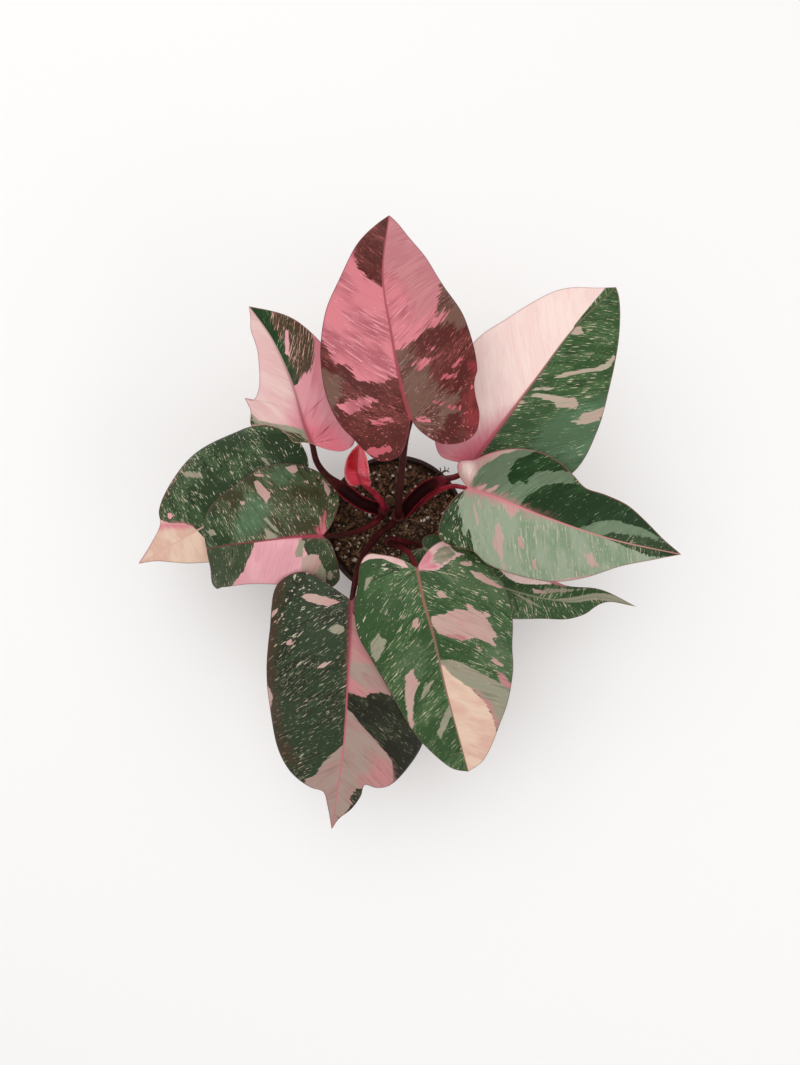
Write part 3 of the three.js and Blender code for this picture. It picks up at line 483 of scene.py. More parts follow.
LEAVES["leaf_front"] = Leaf(
    midrib=[(14, -27, 146), (18, -47, 151), (25, -72, 148), (34, -110, 134), (50, -168, 108)],
    left=Side(5, 30, 45, [
        (-0.05, 7), (-0.08, 14), (-0.09, 23), (-0.06, 33), (0.02, 46), (0.15, 54), (0.3, 55),
        (0.44, 50), (0.58, 47.5), (0.71, 39.5), (0.82, 27.5), (0.89, 20.5), (0.965, 11)]),
    right=Side(5, 30, 45, [
        (-0.03, 5), (-0.06, 12), (-0.085, 21), (-0.1, 29), (-0.07, 35), (0.02, 40), (0.18, 47),
        (0.34, 43), (0.51, 36), (0.73, 27.5), (0.86, 19), (0.96, 9.5)]),
    ripple=(1.5, 2, 2.5),
    stalk=Stalk([(-3.5, -12, 98), (2, -14, 109), (9, -18, 127)], (2.4, 1.5), None, ("plum", "wine")),
    veins=(0.7, 0.004),
    grounds=("meadow", "meadow"),
    rib=((142, 100, 84), (138, 106, 86), 1.7),
    edge=(120, 76, 66),
    patches=[
        Patch("fern", RIGHT, [[(50, -6), (66, -10), (74, -20), (60, -26), (44, -16)]], 6.0, 6.0),
        Patch("fern", LEFT, [
            [(-12, 22), (2, 36), (20, 58), (40, 60), (40, 44), (28, 34), (14, 18), (2, 12)],
            [(42, 40), (56, 42), (84, 52), (90, 40), (70, 30), (58, 34)]], 5.0, 6.0),
        Patch("dusty", LEFT, [
            [(32, 2), (33, 9), (32, 15), (33, 19), (35, 25), (33, 25), (29, 20), (32, 27), (37, 31),
             (42, 34), (51, 38), (58, 41), (57, 36), (64, 38), (58, 32), (53, 25), (52, 18), (47, 10),
             (43, 3), (36, 1)],
            [(69, 32), (73, 37), (81, 41), (76, 35)],
            [(38, 34), (40, 38), (45, 41), (43, 36)],
            [(56, 24), (59, 27), (64, 30), (61, 25)],
            [(17, 9), (19, 13), (23, 15), (21, 10)],
            [(2, 27), (1, 35), (3, 36), (4, 31)],
            [(7, 33), (10, 41), (18, 47), (33, 55), (22, 43), (15, 39), (12, 35)]], 0.25, 2.0),
        Patch("rosewood", LEFT, [
            [(45, 8), (48, 15), (51, 20), (53, 17), (47, 9)],
            [(82, 35), (90, 41), (103, 44), (102, 38), (90, 36)]], 0.4, 2.0),
        Patch("sage", LEFT, [
            [(61, -2), (63, 8), (68, 15), (76, 23), (88, 32), (104, 42), (124, 44), (128, 26),
             (113, 25), (101, 22), (91, 18), (83, 11), (72, 3), (66, -2)]], 0.25, 2.0),
        Patch("rosewood", LEFT, [
            [(84, 12), (93, 20), (101, 24), (114, 28), (128, 28), (126, 24), (113, 24), (100, 18),
             (90, 12)]], 1.5, 4.0),
        Patch("cream", LEFT, [
            [(64, -3), (66, 2), (73, 5), (84, 13), (92, 18), (101, 22), (114, 25), (132, 26),
             (146, 20), (160, 8), (156, -3)]], 0.4, 1.5),
        Patch("sage", RIGHT, [
            [(39, -40), (33, -33), (37, -32), (39, -29), (45, -32), (53, -37), (56, -40), (50, -42)],
            [(92, 3), (99, 3), (105, 3), (106, -2), (115, -8), (121, -12), (115, -13), (106, -8),
             (99, -3)],
            [(77, -13), (75, -6), (82, -11), (88, -17)],
            [(4, -35), (-1, -33), (-1, -28), (3, -31), (8, -36)]], 0.25, 2.0),
        Patch("dusty", RIGHT, [
            [(64, -17), (71, -17), (74, -15), (80, -19), (88, -22), (106, -27), (110, -30),
             (91, -28), (80, -26), (68, -23)],
            [(37, -15), (35, -11), (30, -9), (31, -6), (36, -7)]], 0.25, 2.0),
        Patch("blush", LEFT, [
            [(1, 1), (4, 8), (3, 14), (0, 21), (-2, 27), (-3, 31), (-5, 27), (-8, 24), (-9, 21.5),
             (-12, 24), (-17, 20), (-12, 10), (-3, 2)]], 0.3, 2.5),
        Patch("sage", LEFT, [
            [(-2, 10), (1, 15), (-1, 21), (-4, 26), (-8, 23), (-9.5, 20), (-8.5, 15)]], 1.0, 4.0),
        Patch("petal", LEFT, [[(2, 0), (3, 9), (1.5, 14), (-1, 8), (-7, 12), (-9, 9), (-2, 2)]], 1.2, 2.0),
        Patch("blush", RIGHT, [
            [(-0.5, -5), (-4, -11), (-7, -15.5), (-10, -19.5), (-11.3, -23.5), (-12, -29), (-10.5, -35),
             (-17, -36), (-18, -20), (-8, -8)]], 0.3, 0.5),
    ],
)

LEAVES["leaf_right"] = Leaf(
    midrib=[(44, 22, 164), (63, 15, 170), (91, 4, 168), (134, -9, 154), (185, -19, 134)],
    left=Side(22, -12, 36, [
        (-0.05, 7), (-0.06, 14), (0, 18.5), (0.05, 24), (0.14, 33.5), (0.2, 36), (0.27, 35),
        (0.34, 31), (0.41, 26), (0.5, 26), (0.62, 24), (0.74, 17.5), (0.88, 7.5)]),
    right=Side(0, 28, 36, [
        (-0.03, 6), (-0.045, 12), (-0.06, 20), (-0.06, 29), (-0.04, 36), (0.03, 37.5), (0.1, 36),
        (0.2, 40.5), (0.34, 40), (0.47, 36.5), (0.58, 28.5), (0.71, 15.5), (0.87, 6.5)]),
    ripple=(1.3, 2, 0.5),
    stalk=Stalk([(5, 6, 96), (16, 14, 104), (28, 22.5, 122), (36.5, 24.5, 144)], (2.2, 1.2), None,
                ("wine", "berry")),
    veins=(0.45, 0.003),
    grounds=("verdigris", "celadon"),
    rib=((208, 128, 136), (196, 138, 130), 4.4),
    edge=(150, 84, 84),
    patches=[
        Patch("meadow", LEFT, [
            [(40, 46), (38, 37), (53, 32), (58, 22), (70, 22), (70, 40)]], 0.3, 2.0),
        Patch("deep", LEFT, [
            [(21, 12), (20, 16), (21, 20), (21, 25), (23, 30), (28, 36), (38, 42), (54, 32), (46, 31),
             (37, 27), (33, 23), (31, 19), (31, 15), (27, 15), (25, 11)],
            [(33, -2), (34, 5), (35, 9), (41, 19), (47, 23), (57, 26), (62, 27), (84, 34), (110, 24),
             (138, 9), (134, 6), (115, 12), (99, 12), (98, 13), (92, 12), (84, 9), (76, 3), (72, -2)]],
            0.25, 2.0),
        Patch("jade", LEFT, [
            [(76, -2), (84, 9), (92, 12), (98, 13), (99, 12), (115, 12), (134, 8), (122, 6), (106, 5),
             (90, -2)]], 0.25, 2.0),
        Patch("forest", BOTH, [
            [(90, 0), (96, 4), (106, 5.5), (122, 7), (160, 3), (160, -3), (146, -3), (130, -5),
             (113, -3), (100, -1)]], 0.3, 2.5),
        Patch("dusty", LEFT, [
            [(-12, 12), (-5, 3), (0, -1), (2, 5), (3, 11), (6, 15), (11, 21.5), (16, 27), (22, 34),
             (26, 42), (14, 38), (-4, 22)],
            [(5, 1.5), (12, 8), (10.5, 3.5), (8, 0.5)],
            [(11, 1.5), (15, 6), (18, 10), (17, 5), (14, 1.5)]], 0.25, 1.5),
        Patch("petal", LEFT, [
            [(-12, 13), (-4, 20), (16, 40), (30, 44), (25, 38), (16, 30), (6, 21), (-3, 15.5), (-8, 8)]],
            1.0, 1.0),
        Patch("shell", LEFT, [[(-7, 14), (-5, 9), (0, 6), (2, 10), (1, 15), (-2, 16)]], 3.0, 2.0),
        Patch("forest", RIGHT, [
            [(-1, -2), (-2, -9), (-1, -15), (2, -18), (5, -26), (7, -29), (9, -23), (12, -28),
             (14, -32), (17, -37), (20, -46), (-16, -46), (-16, -4)]], 0.25, 3.0),
        Patch("dusty", RIGHT, [
            [(25, -15), (27, -13), (32, -20), (35, -28), (42, -40), (39, -37), (33, -31), (28, -27)],
            [(6.5, -6), (9, -11), (13.5, -18), (12, -17.5), (8, -12)],
            [(9, -4), (12, -8), (12, -10), (10, -7.5)],
            [(20, -1), (34, -1), (32, -8.5), (29.5, -7), (27, -5.5), (24, -2.5)],
            [(50, -56), (58, -48), (66, -39), (82, -30.5), (99, -22.5), (112, -16), (100, -30), (70, -50)],
            [(83, -13), (88, -12), (93, -16), (99, -19), (89, -19)],
            [(53, -27), (55, -27), (61, -33), (58, -32)],
            [(40, -17), (42, -17), (46, -22), (43, -22)]], 0.25, 2.5),
    ],
)

LEAVES["leaf_back_right"] = Leaf(
    midrib=[(49, 39, 162), (58, 52, 168), (83, 85, 170), (109, 119, 163), (138, 148, 150)],
    left=Side(6, 30, 40, [
        (-0.04, 6), (-0.06, 12), (-0.07, 19), (-0.04, 26), (0.02, 33), (0.15, 41), (0.3, 45),
        (0.44, 43.5), (0.56, 36.5), (0.67, 30.5), (0.8, 22), (0.92, 8)]),
    right=Side(6, 30, 44, [
        (-0.05, 6), (-0.08, 14), (-0.07, 25), (-0.01, 37), (0.09, 49), (0.24, 56), (0.41, 51),
        (0.58, 42), (0.76, 30), (0.88, 18), (0.97, 6)]),
    ripple=(1.6, 2, 1.5),
    stalk=Stalk([(4, 8, 103), (17, 22, 115), (29, 28.5, 129), (41, 31.5, 147)], (2.6, 1.5),
                (4.6, 4, 0.6), ("wine", "wine")),
    veins=(0.85, 0.004),
    grounds=("shell", "meadow"),
    rib=((186, 88, 104), (112, 96, 76), 2.4),
    edge=(176, 122, 122),
    patches=[
        Patch("petal", LEFT, [
            [(40, -3), (24, 8), (12, 16), (4, 26), (0, 40), (-20, 40), (-20, -3)]], 9.0, 6.0),
        Patch("candy", LEFT, [[(24, -3), (14, 4), (2, 10), (-8, 14), (-12, 4), (-6, -3)]], 6.0, 4.0),
        Patch("meadow", LEFT, [
            [(98, -3), (102, 1), (115, 2), (125, 3), (136, 4), (150, 5), (150, -3)]], 0.3, 0.5),
        # Painted sheen: this paler bluish-green patch stands in for the whitish reflection on the lower green
        # half.
        Patch("teal", RIGHT, [
            [(39, -19), (53, -23), (68, -32), (85, -43), (69, -54), (51, -60), (33, -60), (23, -22)]],
            5.0, 8.0),
        Patch("oat", RIGHT, [
            [(95, 2), (100, 2), (105, -2), (103, -6), (99, -4)],
            [(53, -2), (56, -3), (63, -12), (60, -11), (56, -6)]], 0.25, 1.5),
        Patch("oat", RIGHT, [
            [(67, -8), (74, -12), (83, -19), (90, -25), (97, -28), (103, -29), (110, -28), (107, -31),
             (99, -32), (93, -30), (85, -24), (78, -18), (72, -13)],
            [(42, 2), (45, -1), (46, -4), (43, -2)]], 0.25, 1.5),
        Patch("oat", RIGHT, [
            [(50, -3), (53, -5), (60, -15), (61, -19), (66, -26), (65, -29), (61, -30), (58, -24),
             (54, -20), (56, -17), (54, -12), (52, -7)],
            [(53, -31), (57, -36), (61, -35), (69, -41), (77, -46), (76, -50), (65, -46), (59, -42),
             (55, -37)]], 0.25, 2.0),
    ],
)

LEAVES["leaf_low_right"] = Leaf(
    midrib=[(19, -15, 114), (44, -29, 117), (76, -43, 112), (114, -52, 102), (143, -50, 96),
            (170, -57, 92)],
    left=Side(0, 50, 30, [
        (-0.02, 4), (-0.01, 9), (0.04, 14), (0.13, 20), (0.28, 24), (0.45, 22), (0.61, 13.5),
        (0.74, 8.5), (0.87, 4)]),
    right=Side(0, 50, 30, [
        (-0.04, 6), (-0.07, 14), (-0.04, 24), (0.08, 30), (0.27, 29), (0.47, 20), (0.59, 14.5),
        (0.7, 13), (0.76, 11), (0.81, 7), (0.87, 2.5)]),
    ripple=(1, 2, 0),
    stalk=Stalk([(-3, -9, 92.8), (6, -11, 96.5), (13, -12.5, 104)], (2, 1.4)),
    veins=(0.6, 0.004),
    grounds=("meadow", "meadow"),
    rib=((130, 134, 104), (130, 134, 104), 1.5),
    edge=(124, 62, 62),
    patches=[
        Patch("shell", LEFT, [
            [(46, 24), (52, 12), (60, 8), (68, 6), (76, 6.5), (88, 9), (98, 11), (80, 17), (60, 24)]],
            0.4, 0.8),
        Patch("petal", LEFT, [
            [(60, 24), (70, 13), (84, 12), (96, 11.5), (110, 10), (107, 16), (80, 24)]], 0.8, 0.8),
        Patch("sage", LEFT, [
            [(84, 4), (94, 7), (106, 8.5), (120, 7), (128, 6), (114, 6.5), (102, 6), (92, 3.5)],
            [(94, -1), (107, 2), (126, 2.5), (145, 3), (160, 3), (160, -3), (94, -3)]], 0.3, 2.0),
        Patch("dusty", LEFT, [[(82, 5), (93, 5), (92, 3.5), (84, 2)]], 0.25, 1.0),
        Patch("sage", RIGHT, [
            [(68, -1), (77, -2), (87, -4), (93, -7), (83, -5.5)],
            [(94, 1), (120, 1), (160, 1), (140, -2), (119, -2)]], 0.25, 1.5),
    ],
)

LEAVES["new_leaf"] = Leaf(
    midrib=[(-22, 27, 131), (-23.2, 32, 145), (-22.2, 39, 162), (-20, 46.5, 183)],
    left=Side(15, -70, 12, [
        (0, 1.2), (0.01, 2.6), (0.05, 4.2), (0.12, 6.2), (0.23, 8.5), (0.38, 10), (0.58, 9.5),
        (0.82, 5)]),
    right=Side(12, -50, 12, [
        (-0.03, 2.1), (-0.06, 3.4), (-0.06, 4.7), (-0.01, 6.1), (0.07, 7.5), (0.18, 8.8),
        (0.36, 10.1), (0.6, 10.3), (0.82, 7)]),
    ripple=(0, 1, 0),
    stalk=Stalk([(-8, 11.6, 102), (-7.8, 12.8, 107.5), (-10.5, 18, 117), (-16, 23.5, 124)], (2.4, 1.5), None,
                ("berry", "berry")),
    veins=(0.8, 0.01),
    grounds=("scarlet", "scarlet"),
    rib=((190, 60, 76), (168, 24, 42), 1.5),
    edge=(226, 150, 152),
    patches=[
        # Painted shade: the deeper red in the cupped pocket of the left half.
        Patch("cherry", LEFT, [[(20, 0), (23, 4), (28, 7), (38, 7.5), (52, 4), (54, 0)]], 2.4, 2.0),
        Patch("rouge", LEFT, [
            [(-6, 2), (4, 6), (16, 8.2), (26, 8.8), (40, 7.6), (54, 4), (60, 14), (20, 20), (-8, 12)]],
            1.2, 1.0),
        Patch("rouge", RIGHT, [
            [(-8, -7), (6, -8), (24, -9), (44, -7.5), (50, -16), (-12, -16)],
            # The second outline is a painted highlight: a paler pink spot on the bulge of the right half.
            [(14, -4), (20, -3), (24, -5), (20, -8), (14, -7)]], 1.6, 1.0),
    ],
)

# ---------------------------------------------------------------- stalks, roots and the old sheath

# Colours of a stalk's skin, which clouds from the first to the second
STALK_COLOURS = {
    "plum": ((48, 14, 13), (64, 22, 20)),
    "wine": ((108, 30, 37), (82, 24, 29)),
    "berry": ((166, 40, 56), (130, 30, 44)),
}

OLD_SHEATH = [(-2.6, 13, 91.6), (-3.4, 16, 96), (-4.2, 19.5, 100)]

# Old roots that stick out of the potting mix, four of them over the rim: route and radius
ROOTLETS = (
    ([(27, 34, 88.6), (30.4, 37, 93), (32, 38.6, 94.4), (31.4, 41, 95)], 1.0),
    ([(29, 33, 88.6), (32.4, 36.6, 93), (35, 38.6, 94.6), (38, 37.6, 95)], 1.0),
    ([(30, 33, 88.6), (33, 37, 93), (35, 39.6, 94), (34.6, 42, 93.4)], 0.8),
    ([(31, 34, 90), (33.6, 37.4, 93.6), (37, 39, 93.4), (37.6, 41, 92.6)], 0.7),
    ([(-30, -2, 88), (-27, 0, 91), (-22, 0.6, 91.4), (-17, -1, 88.6)], 0.35),
    ([(-22, 6, 88), (-20, 2, 91), (-21, -3, 91.6), (-26, -7, 88.6)], 0.3),
    ([(16, 33, 88), (10, 35, 91), (4, 34, 91.4), (-1, 36, 88.6)], 0.3),
    ([(20, -6, 88), (22, 0, 91), (27, 4, 91), (32, 4, 88.6)], 0.3),
)


# ---------------------------------------------------------------- curves and distances

def unit(vectors):
    return vectors / np.linalg.norm(vectors, axis=-1, keepdims=True)


def smooth_step(value, low, high):
    part = np.clip((value - low) / (high - low), 0, 1)
    return part * part * (3 - 2 * part)


def run_along(places):
    """How far along a line each of its places lies."""
    steps = np.linalg.norm(np.diff(places, axis=0), axis=1)
    return np.concatenate([[0], np.cumsum(steps)])


def at_run(wanted, run, places):
    """Places at the wanted distances along a line whose own places lie at the distances run."""
    return np.stack([np.interp(wanted, run, column) for column in places.T], axis=-1)


def with_ends(points):
    """A curve's knots: its points, and one more beyond each end."""
    points = np.array(points, float)
    return np.vstack([2 * points[0] - points[1], points, 2 * points[-1] - points[-2]])


class Path:
    """A smooth curve through points, measured in mm along it."""

    def __init__(self, points):
        self.knots = with_ends(points)
        self.turns = np.linspace(0, len(points) - 1, PATH_STEPS)
        self.run = run_along(self._at(self.turns))
        self.length = self.run[-1]

    def _stretch(self, turn):
        """The four knots about a place, and how far it lies between the middle two."""
        first = np.clip(np.floor(turn).astype(int), 0, len(self.knots) - 4)
        return *(self.knots[first + i] for i in range(4)), (turn - first)[..., None]

    def _at(self, turn):
        a, b, c, d, t = self._stretch(turn)
        curve = (c - a) * t + (2 * a - 5 * b + 4 * c - d) * t**2 + (3 * b - a - 3 * c + d) * t**3
        return b + 0.5 * curve

    def _turn(self, x):
        return np.interp(x, self.run, self.turns)

    def place(self, x):
        return self._at(self._turn(x))

    def direction(self, x):
        a, b, c, d, t = self._stretch(self._turn(x))
        return unit((c - a) + 2 * (2 * a - 5 * b + 4 * c - d) * t + 3 * (3 * b - a - 3 * c + d) * t**2)

    def even_places(self, steps):
        return self.place(np.linspace(0, self.length, steps + 1))


def margin_curve(points, steps):
    """A rounded line through flat points, whose bends don't overshoot, as steps + 1 even places."""
    knots = with_ends(points)
    t = np.linspace(0, 1, CURVE_STEPS, endpoint=False)[:, None]
    places = []
    for a, b, c, d in zip(knots, knots[1:], knots[2:], knots[3:]):
        before, here, after = (math.sqrt(max(math.dist(p, q), 1e-6)) for p, q in ((a, b), (b, c), (c, d)))
        leave = ((b - a) / before - (c - a) / (before + here) + (c - b) / here) * here
        arrive = ((c - b) / here - (d - b) / (here + after) + (d - c) / after) * here
        places.append(b + leave * t + (3 * (c - b) - 2 * leave - arrive) * t**2
                      + (2 * (b - c) + leave + arrive) * t**3)
    dense = np.vstack(places + [knots[-2:-1]])
    run = run_along(dense)
    return at_run(np.linspace(0, run[-1], steps + 1), run, dense)


def bend_through(a, b, c, d, steps):
    """A curve that leaves the place a towards b and arrives at d from c."""
    t = np.linspace(0, 1, steps + 1)[:, None]
    return a * (1 - t)**3 + 3 * b * t * (1 - t)**2 + 3 * c * t**2 * (1 - t) + d * t**3


def distance_inside(x, w, outline):
    """How far each point lies inside a closed outline, in mm; outside is negative."""
    corners = np.array(outline, float)
    points = np.stack([x.ravel(), w.ravel()], axis=-1)
    nearest = np.full(len(points), np.inf)
    inside = np.zeros(len(points), bool)
    for start, end in zip(corners, np.roll(corners, -1, axis=0)):
        edge = end - start
        offset = points - start
        part = np.clip(offset @ edge / max(edge @ edge, TINY), 0, 1)
        nearest = np.minimum(nearest, np.linalg.norm(offset - part[:, None] * edge, axis=1))
        crosses = (start[1] > points[:, 1]) != (end[1] > points[:, 1])
        reach = start[0] + offset[:, 1] * edge[0] / (edge[1] or TINY)
        inside ^= crosses & (points[:, 0] < reach)
    return np.where(inside, nearest, -nearest).reshape(x.shape)


# ---------------------------------------------------------------- meshes and pieces

def net_faces(net):
    """Faces between neighbours in a net of point numbers; corners that share a point count once."""
    quads = np.stack([net[:-1, :-1], net[:-1, 1:], net[1:, 1:], net[1:, :-1]], axis=-1)
    faces = [list(dict.fromkeys(quad)) for quad in quads.reshape(-1, 4).tolist()]
    return [face for face in faces if len(face) > 2]


def new_mesh(name, places, faces=(), values=None):
    """A mesh from places in mm, or without faces a line through them.

    values are its point attributes: numbers or groups of three.
    """
    mesh = bpy.data.meshes.new(name)
    edges = [] if faces else [(i, i + 1) for i in range(len(places) - 1)]
    mesh.from_pydata((np.asarray(places) * MM).tolist(), edges, faces)
    for label, value in (values or {}).items():
        kind, field = ("FLOAT", "value") if value.ndim == 1 else ("FLOAT_VECTOR", "vector")
        mesh.attributes.new(label, kind, "POINT").data.foreach_set(field, value.ravel())
    mesh.polygons.foreach_set("use_smooth", [True] * len(mesh.polygons))
    mesh.update()
    return mesh


def new_object(name, data):
    made = bpy.data.objects.new(name, data)
    bpy.context.scene.collection.objects.link(made)
    return made


def new_piece(name, mesh, node=None, material=None):
    """A piece with its finish, which stands for a CAD node if one is given."""
    piece = new_object(name, mesh)
    if material:
        mesh.materials.append(material)
    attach(piece, "root")
    if node:
        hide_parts(node)


# ---------------------------------------------------------------- node trees

def linear(colour):
    """A colour, 0 to 255, as a shader takes it."""
    parts = [c / 255 for c in colour]
    return tuple(p / 12.92 if p <= 0.04045 else ((p + 0.055) / 1.055) ** 2.4 for p in parts) + (1.0,)


def operator(operation):
    """An operator's method and its reflected form, which add a Math node."""
    return (lambda wire, other: wire.math(operation, wire, other),
            lambda wire, other: wire.math(operation, other, wire))


def function(operation):
    return lambda wire: wire.math(operation, wire)


class Wire:
    """A node's output, on which ordinary arithmetic adds Math nodes."""

    def __init__(self, graph, socket):
        self.graph = graph
        self.socket = socket

    def math(self, operation, *values):
        return self.graph.node("ShaderNodeMath", {"operation": operation}, dict(enumerate(values)))

    __add__, __radd__ = operator("ADD")
    __sub__, __rsub__ = operator("SUBTRACT")
    __mul__, __rmul__ = operator("MULTIPLY")
    __truediv__, __rtruediv__ = operator("DIVIDE")
    __pow__, __rpow__ = operator("POWER")
    __gt__, __lt__ = operator("GREATER_THAN")
    __abs__ = function("ABSOLUTE")
    sine = function("SINE")
    cosine = function("COSINE")

    def step(self, low, high):
        """0 below low and 1 above high, with a smooth rise between.

        A noise lies about 0.5, so steps from there up make patches of it.
        """
        return self.graph.node(
            "ShaderNodeMapRange", {"interpolation_type": "SMOOTHSTEP"}, {0: self, 1: low, 2: high})

    def output(self, index):
        """Another output of the same node."""
        return Wire(self.graph, self.socket.node.outputs[index])


class Graph:
    """A node tree to which one method adds every node."""

    def __init__(self, tree):
        self.tree = tree
        tree.nodes.clear()

    def node(self, kind, settings=None, sockets=None, output=0):
        node = self.tree.nodes.new(kind)
        for name, setting in (settings or {}).items():
            setattr(node, name, setting)
        for key, value in (sockets or {}).items():
            if isinstance(value, Wire):
                self.tree.links.new(value.socket, node.inputs[key])
            else:
                node.inputs[key].default_value = value
        return Wire(self, node.outputs[output]) if len(node.outputs) else None

    def vector(self, x, y, z):
        return self.node("ShaderNodeCombineXYZ", {}, {0: x, 1: y, 2: z})

    def parts(self, vector):
        split = self.node("ShaderNodeSeparateXYZ", {}, {0: vector})
        return split, split.output(1), split.output(2)

    def vector_math(self, operation, *values):
        return self.node("ShaderNodeVectorMath", {"operation": operation}, dict(enumerate(values)))

    def scaled(self, vector, factor):
        return self.node("ShaderNodeVectorMath", {"operation": "SCALE"}, {0: vector, "Scale": factor})

    def noise(self, vector, scale=1.0, detail=2.0, roughness=0.5):
        sockets = {"Vector": vector, "Scale": scale, "Detail": detail, "Roughness": roughness}
        return self.node("ShaderNodeTexNoise", {}, sockets)


class Paint(Graph):
    """A material's tree."""

    def __init__(self, name):
        self.material = bpy.data.materials.new(name)
        self.material.use_nodes = True
        super().__init__(self.material.node_tree)

    def attribute(self, name):
        """A number kept on the mesh; its output 1 is a group of three."""
        return self.node("ShaderNodeAttribute", {"attribute_name": name}, {}, 2)

    def mix(self, factor, low, high, blend="MIX"):
        """From the colour low to the colour high."""
        low, high = (c if isinstance(c, Wire) else linear(c) for c in (low, high))
        settings = {"data_type": "RGBA", "blend_type": blend}
        return self.node("ShaderNodeMix", settings, {0: factor, 6: low, 7: high}, 2)

    def coats(self, colour, *coats):
        """A ground colour under coats, each a factor, a colour and where it isn't MIX a blend."""
        for factor, coat, *blend in coats:
            colour = self.mix(factor, colour, coat, *blend)
        return colour

    def finish(self, colour, roughness, relief=None, specular=0.5, coat=0.0):
        """The material. relief is a height, how many mm it stands for and its strength."""
        sockets = {"Base Color": colour, "Roughness": roughness, "Specular IOR Level": specular,
                   "Coat Weight": coat}
        if relief:
            height, depth, strength = relief
            sockets["Normal"] = self.node("ShaderNodeBump", {}, {
                "Height": height, "Distance": depth * MM, "Strength": strength})
        shade = self.node("ShaderNodeBsdfPrincipled", {}, sockets)
        self.node("ShaderNodeOutputMaterial", {}, {0: shade})
        return self.material


def grained(name, cloud, fine, stretch=1.0):
    """A paint, the place, and a broad and a fine noise there, each given as scale, detail and roughness.

    stretch below 1 draws the fine noise out upwards.
    """
    paint = Paint(name)
    place = paint.node("ShaderNodeTexCoord", {}, {}, 3)
    drawn = paint.vector_math("MULTIPLY", place, (1.0, 1.0, stretch))
    return paint, place, paint.noise(place, *cloud), paint.noise(drawn, *fine)


class Growth(Graph):
    """A geometry tree with named inputs, which turns an object's mesh into a finished one."""

    def __init__(self, name, sizes):
        tree = bpy.data.node_groups.new(name, "GeometryNodeTree")
        tree.interface.new_socket("Geometry", in_out="INPUT", socket_type="NodeSocketGeometry")
        sizes = {**sizes, "Material": None}
        for label, value in sizes.items():
            kind = {float: "Float", int: "Int", tuple: "Vector"}.get(type(value), "Material")
            socket = tree.interface.new_socket(label, in_out="INPUT", socket_type="NodeSocket" + kind)
            if value is not None:
                socket.default_value = value
        tree.interface.new_socket("Geometry", in_out="OUTPUT", socket_type="NodeSocketGeometry")
        super().__init__(tree)
        self.start = self.node("NodeGroupInput")
        self.sizes = {label: self.start.output(i + 1) for i, label in enumerate(sizes)}

    def named(self, name, kind="FLOAT"):
        return self.node("GeometryNodeInputNamedAttribute", {"data_type": kind}, {"Name": name})

    def keep(self, geometry, kind="FLOAT", **values):
        """The geometry with these values kept on its points."""
        for name, value in values.items():
            geometry = self.node(
                "GeometryNodeStoreNamedAttribute", {"data_type": kind, "domain": "POINT"},
                {"Geometry": geometry, "Name": name, "Value": value})
        return geometry

    def here(self):
        return self.node("GeometryNodeInputPosition")

    def moved(self, geometry, **target):
        """The geometry with its points at a Position or shifted by an Offset."""
        return self.node("GeometryNodeSetPosition", {}, {"Geometry": geometry, **target})

    def ring(self, sides, radius):
        """A circle whose points keep how far round they are."""
        circle = self.node("GeometryNodeCurvePrimitiveCircle", {"mode": "RADIUS"},
                           {"Resolution": sides, "Radius": radius})
        return self.keep(circle, turn=self.node("GeometryNodeSplineParameter"))

    def swept(self, line, ring, closed_ends):
        sockets = {"Curve": line, "Profile Curve": ring, "Fill Caps": closed_ends}
        return self.node("GeometryNodeCurveToMesh", {}, sockets)

    def finish(self, geometry):
        """The tree's end: real geometry with its material."""
        solid = self.node("GeometryNodeRealizeInstances", {}, {0: geometry})
        smooth = self.node("GeometryNodeSetShadeSmooth", {}, {0: solid})
        painted = self.node("GeometryNodeSetMaterial", {}, {
            "Geometry": smooth, "Material": self.sizes["Material"]})
        self.node("NodeGroupOutput", {}, {0: painted})
        return self

    def grow(self, mesh, values):
        """The finished mesh that the tree makes of a mesh, with these values for its inputs."""
        seed = new_object(mesh.name + "_seed", mesh)
        modifier = seed.modifiers.new("growth", "NODES")
        modifier.node_group = self.tree
        for item in self.tree.interface.items_tree:
            if item.in_out == "INPUT" and item.name in values:
                modifier[item.identifier] = values[item.name]
        graph = bpy.context.evaluated_depsgraph_get()
        grown = bpy.data.meshes.new_from_object(
            seed.evaluated_get(graph), preserve_all_data_layers=True, depsgraph=graph)
        seed.modifiers.remove(modifier)
        bpy.data.objects.remove(seed)
        return grown


# ---------------------------------------------------------------- blades

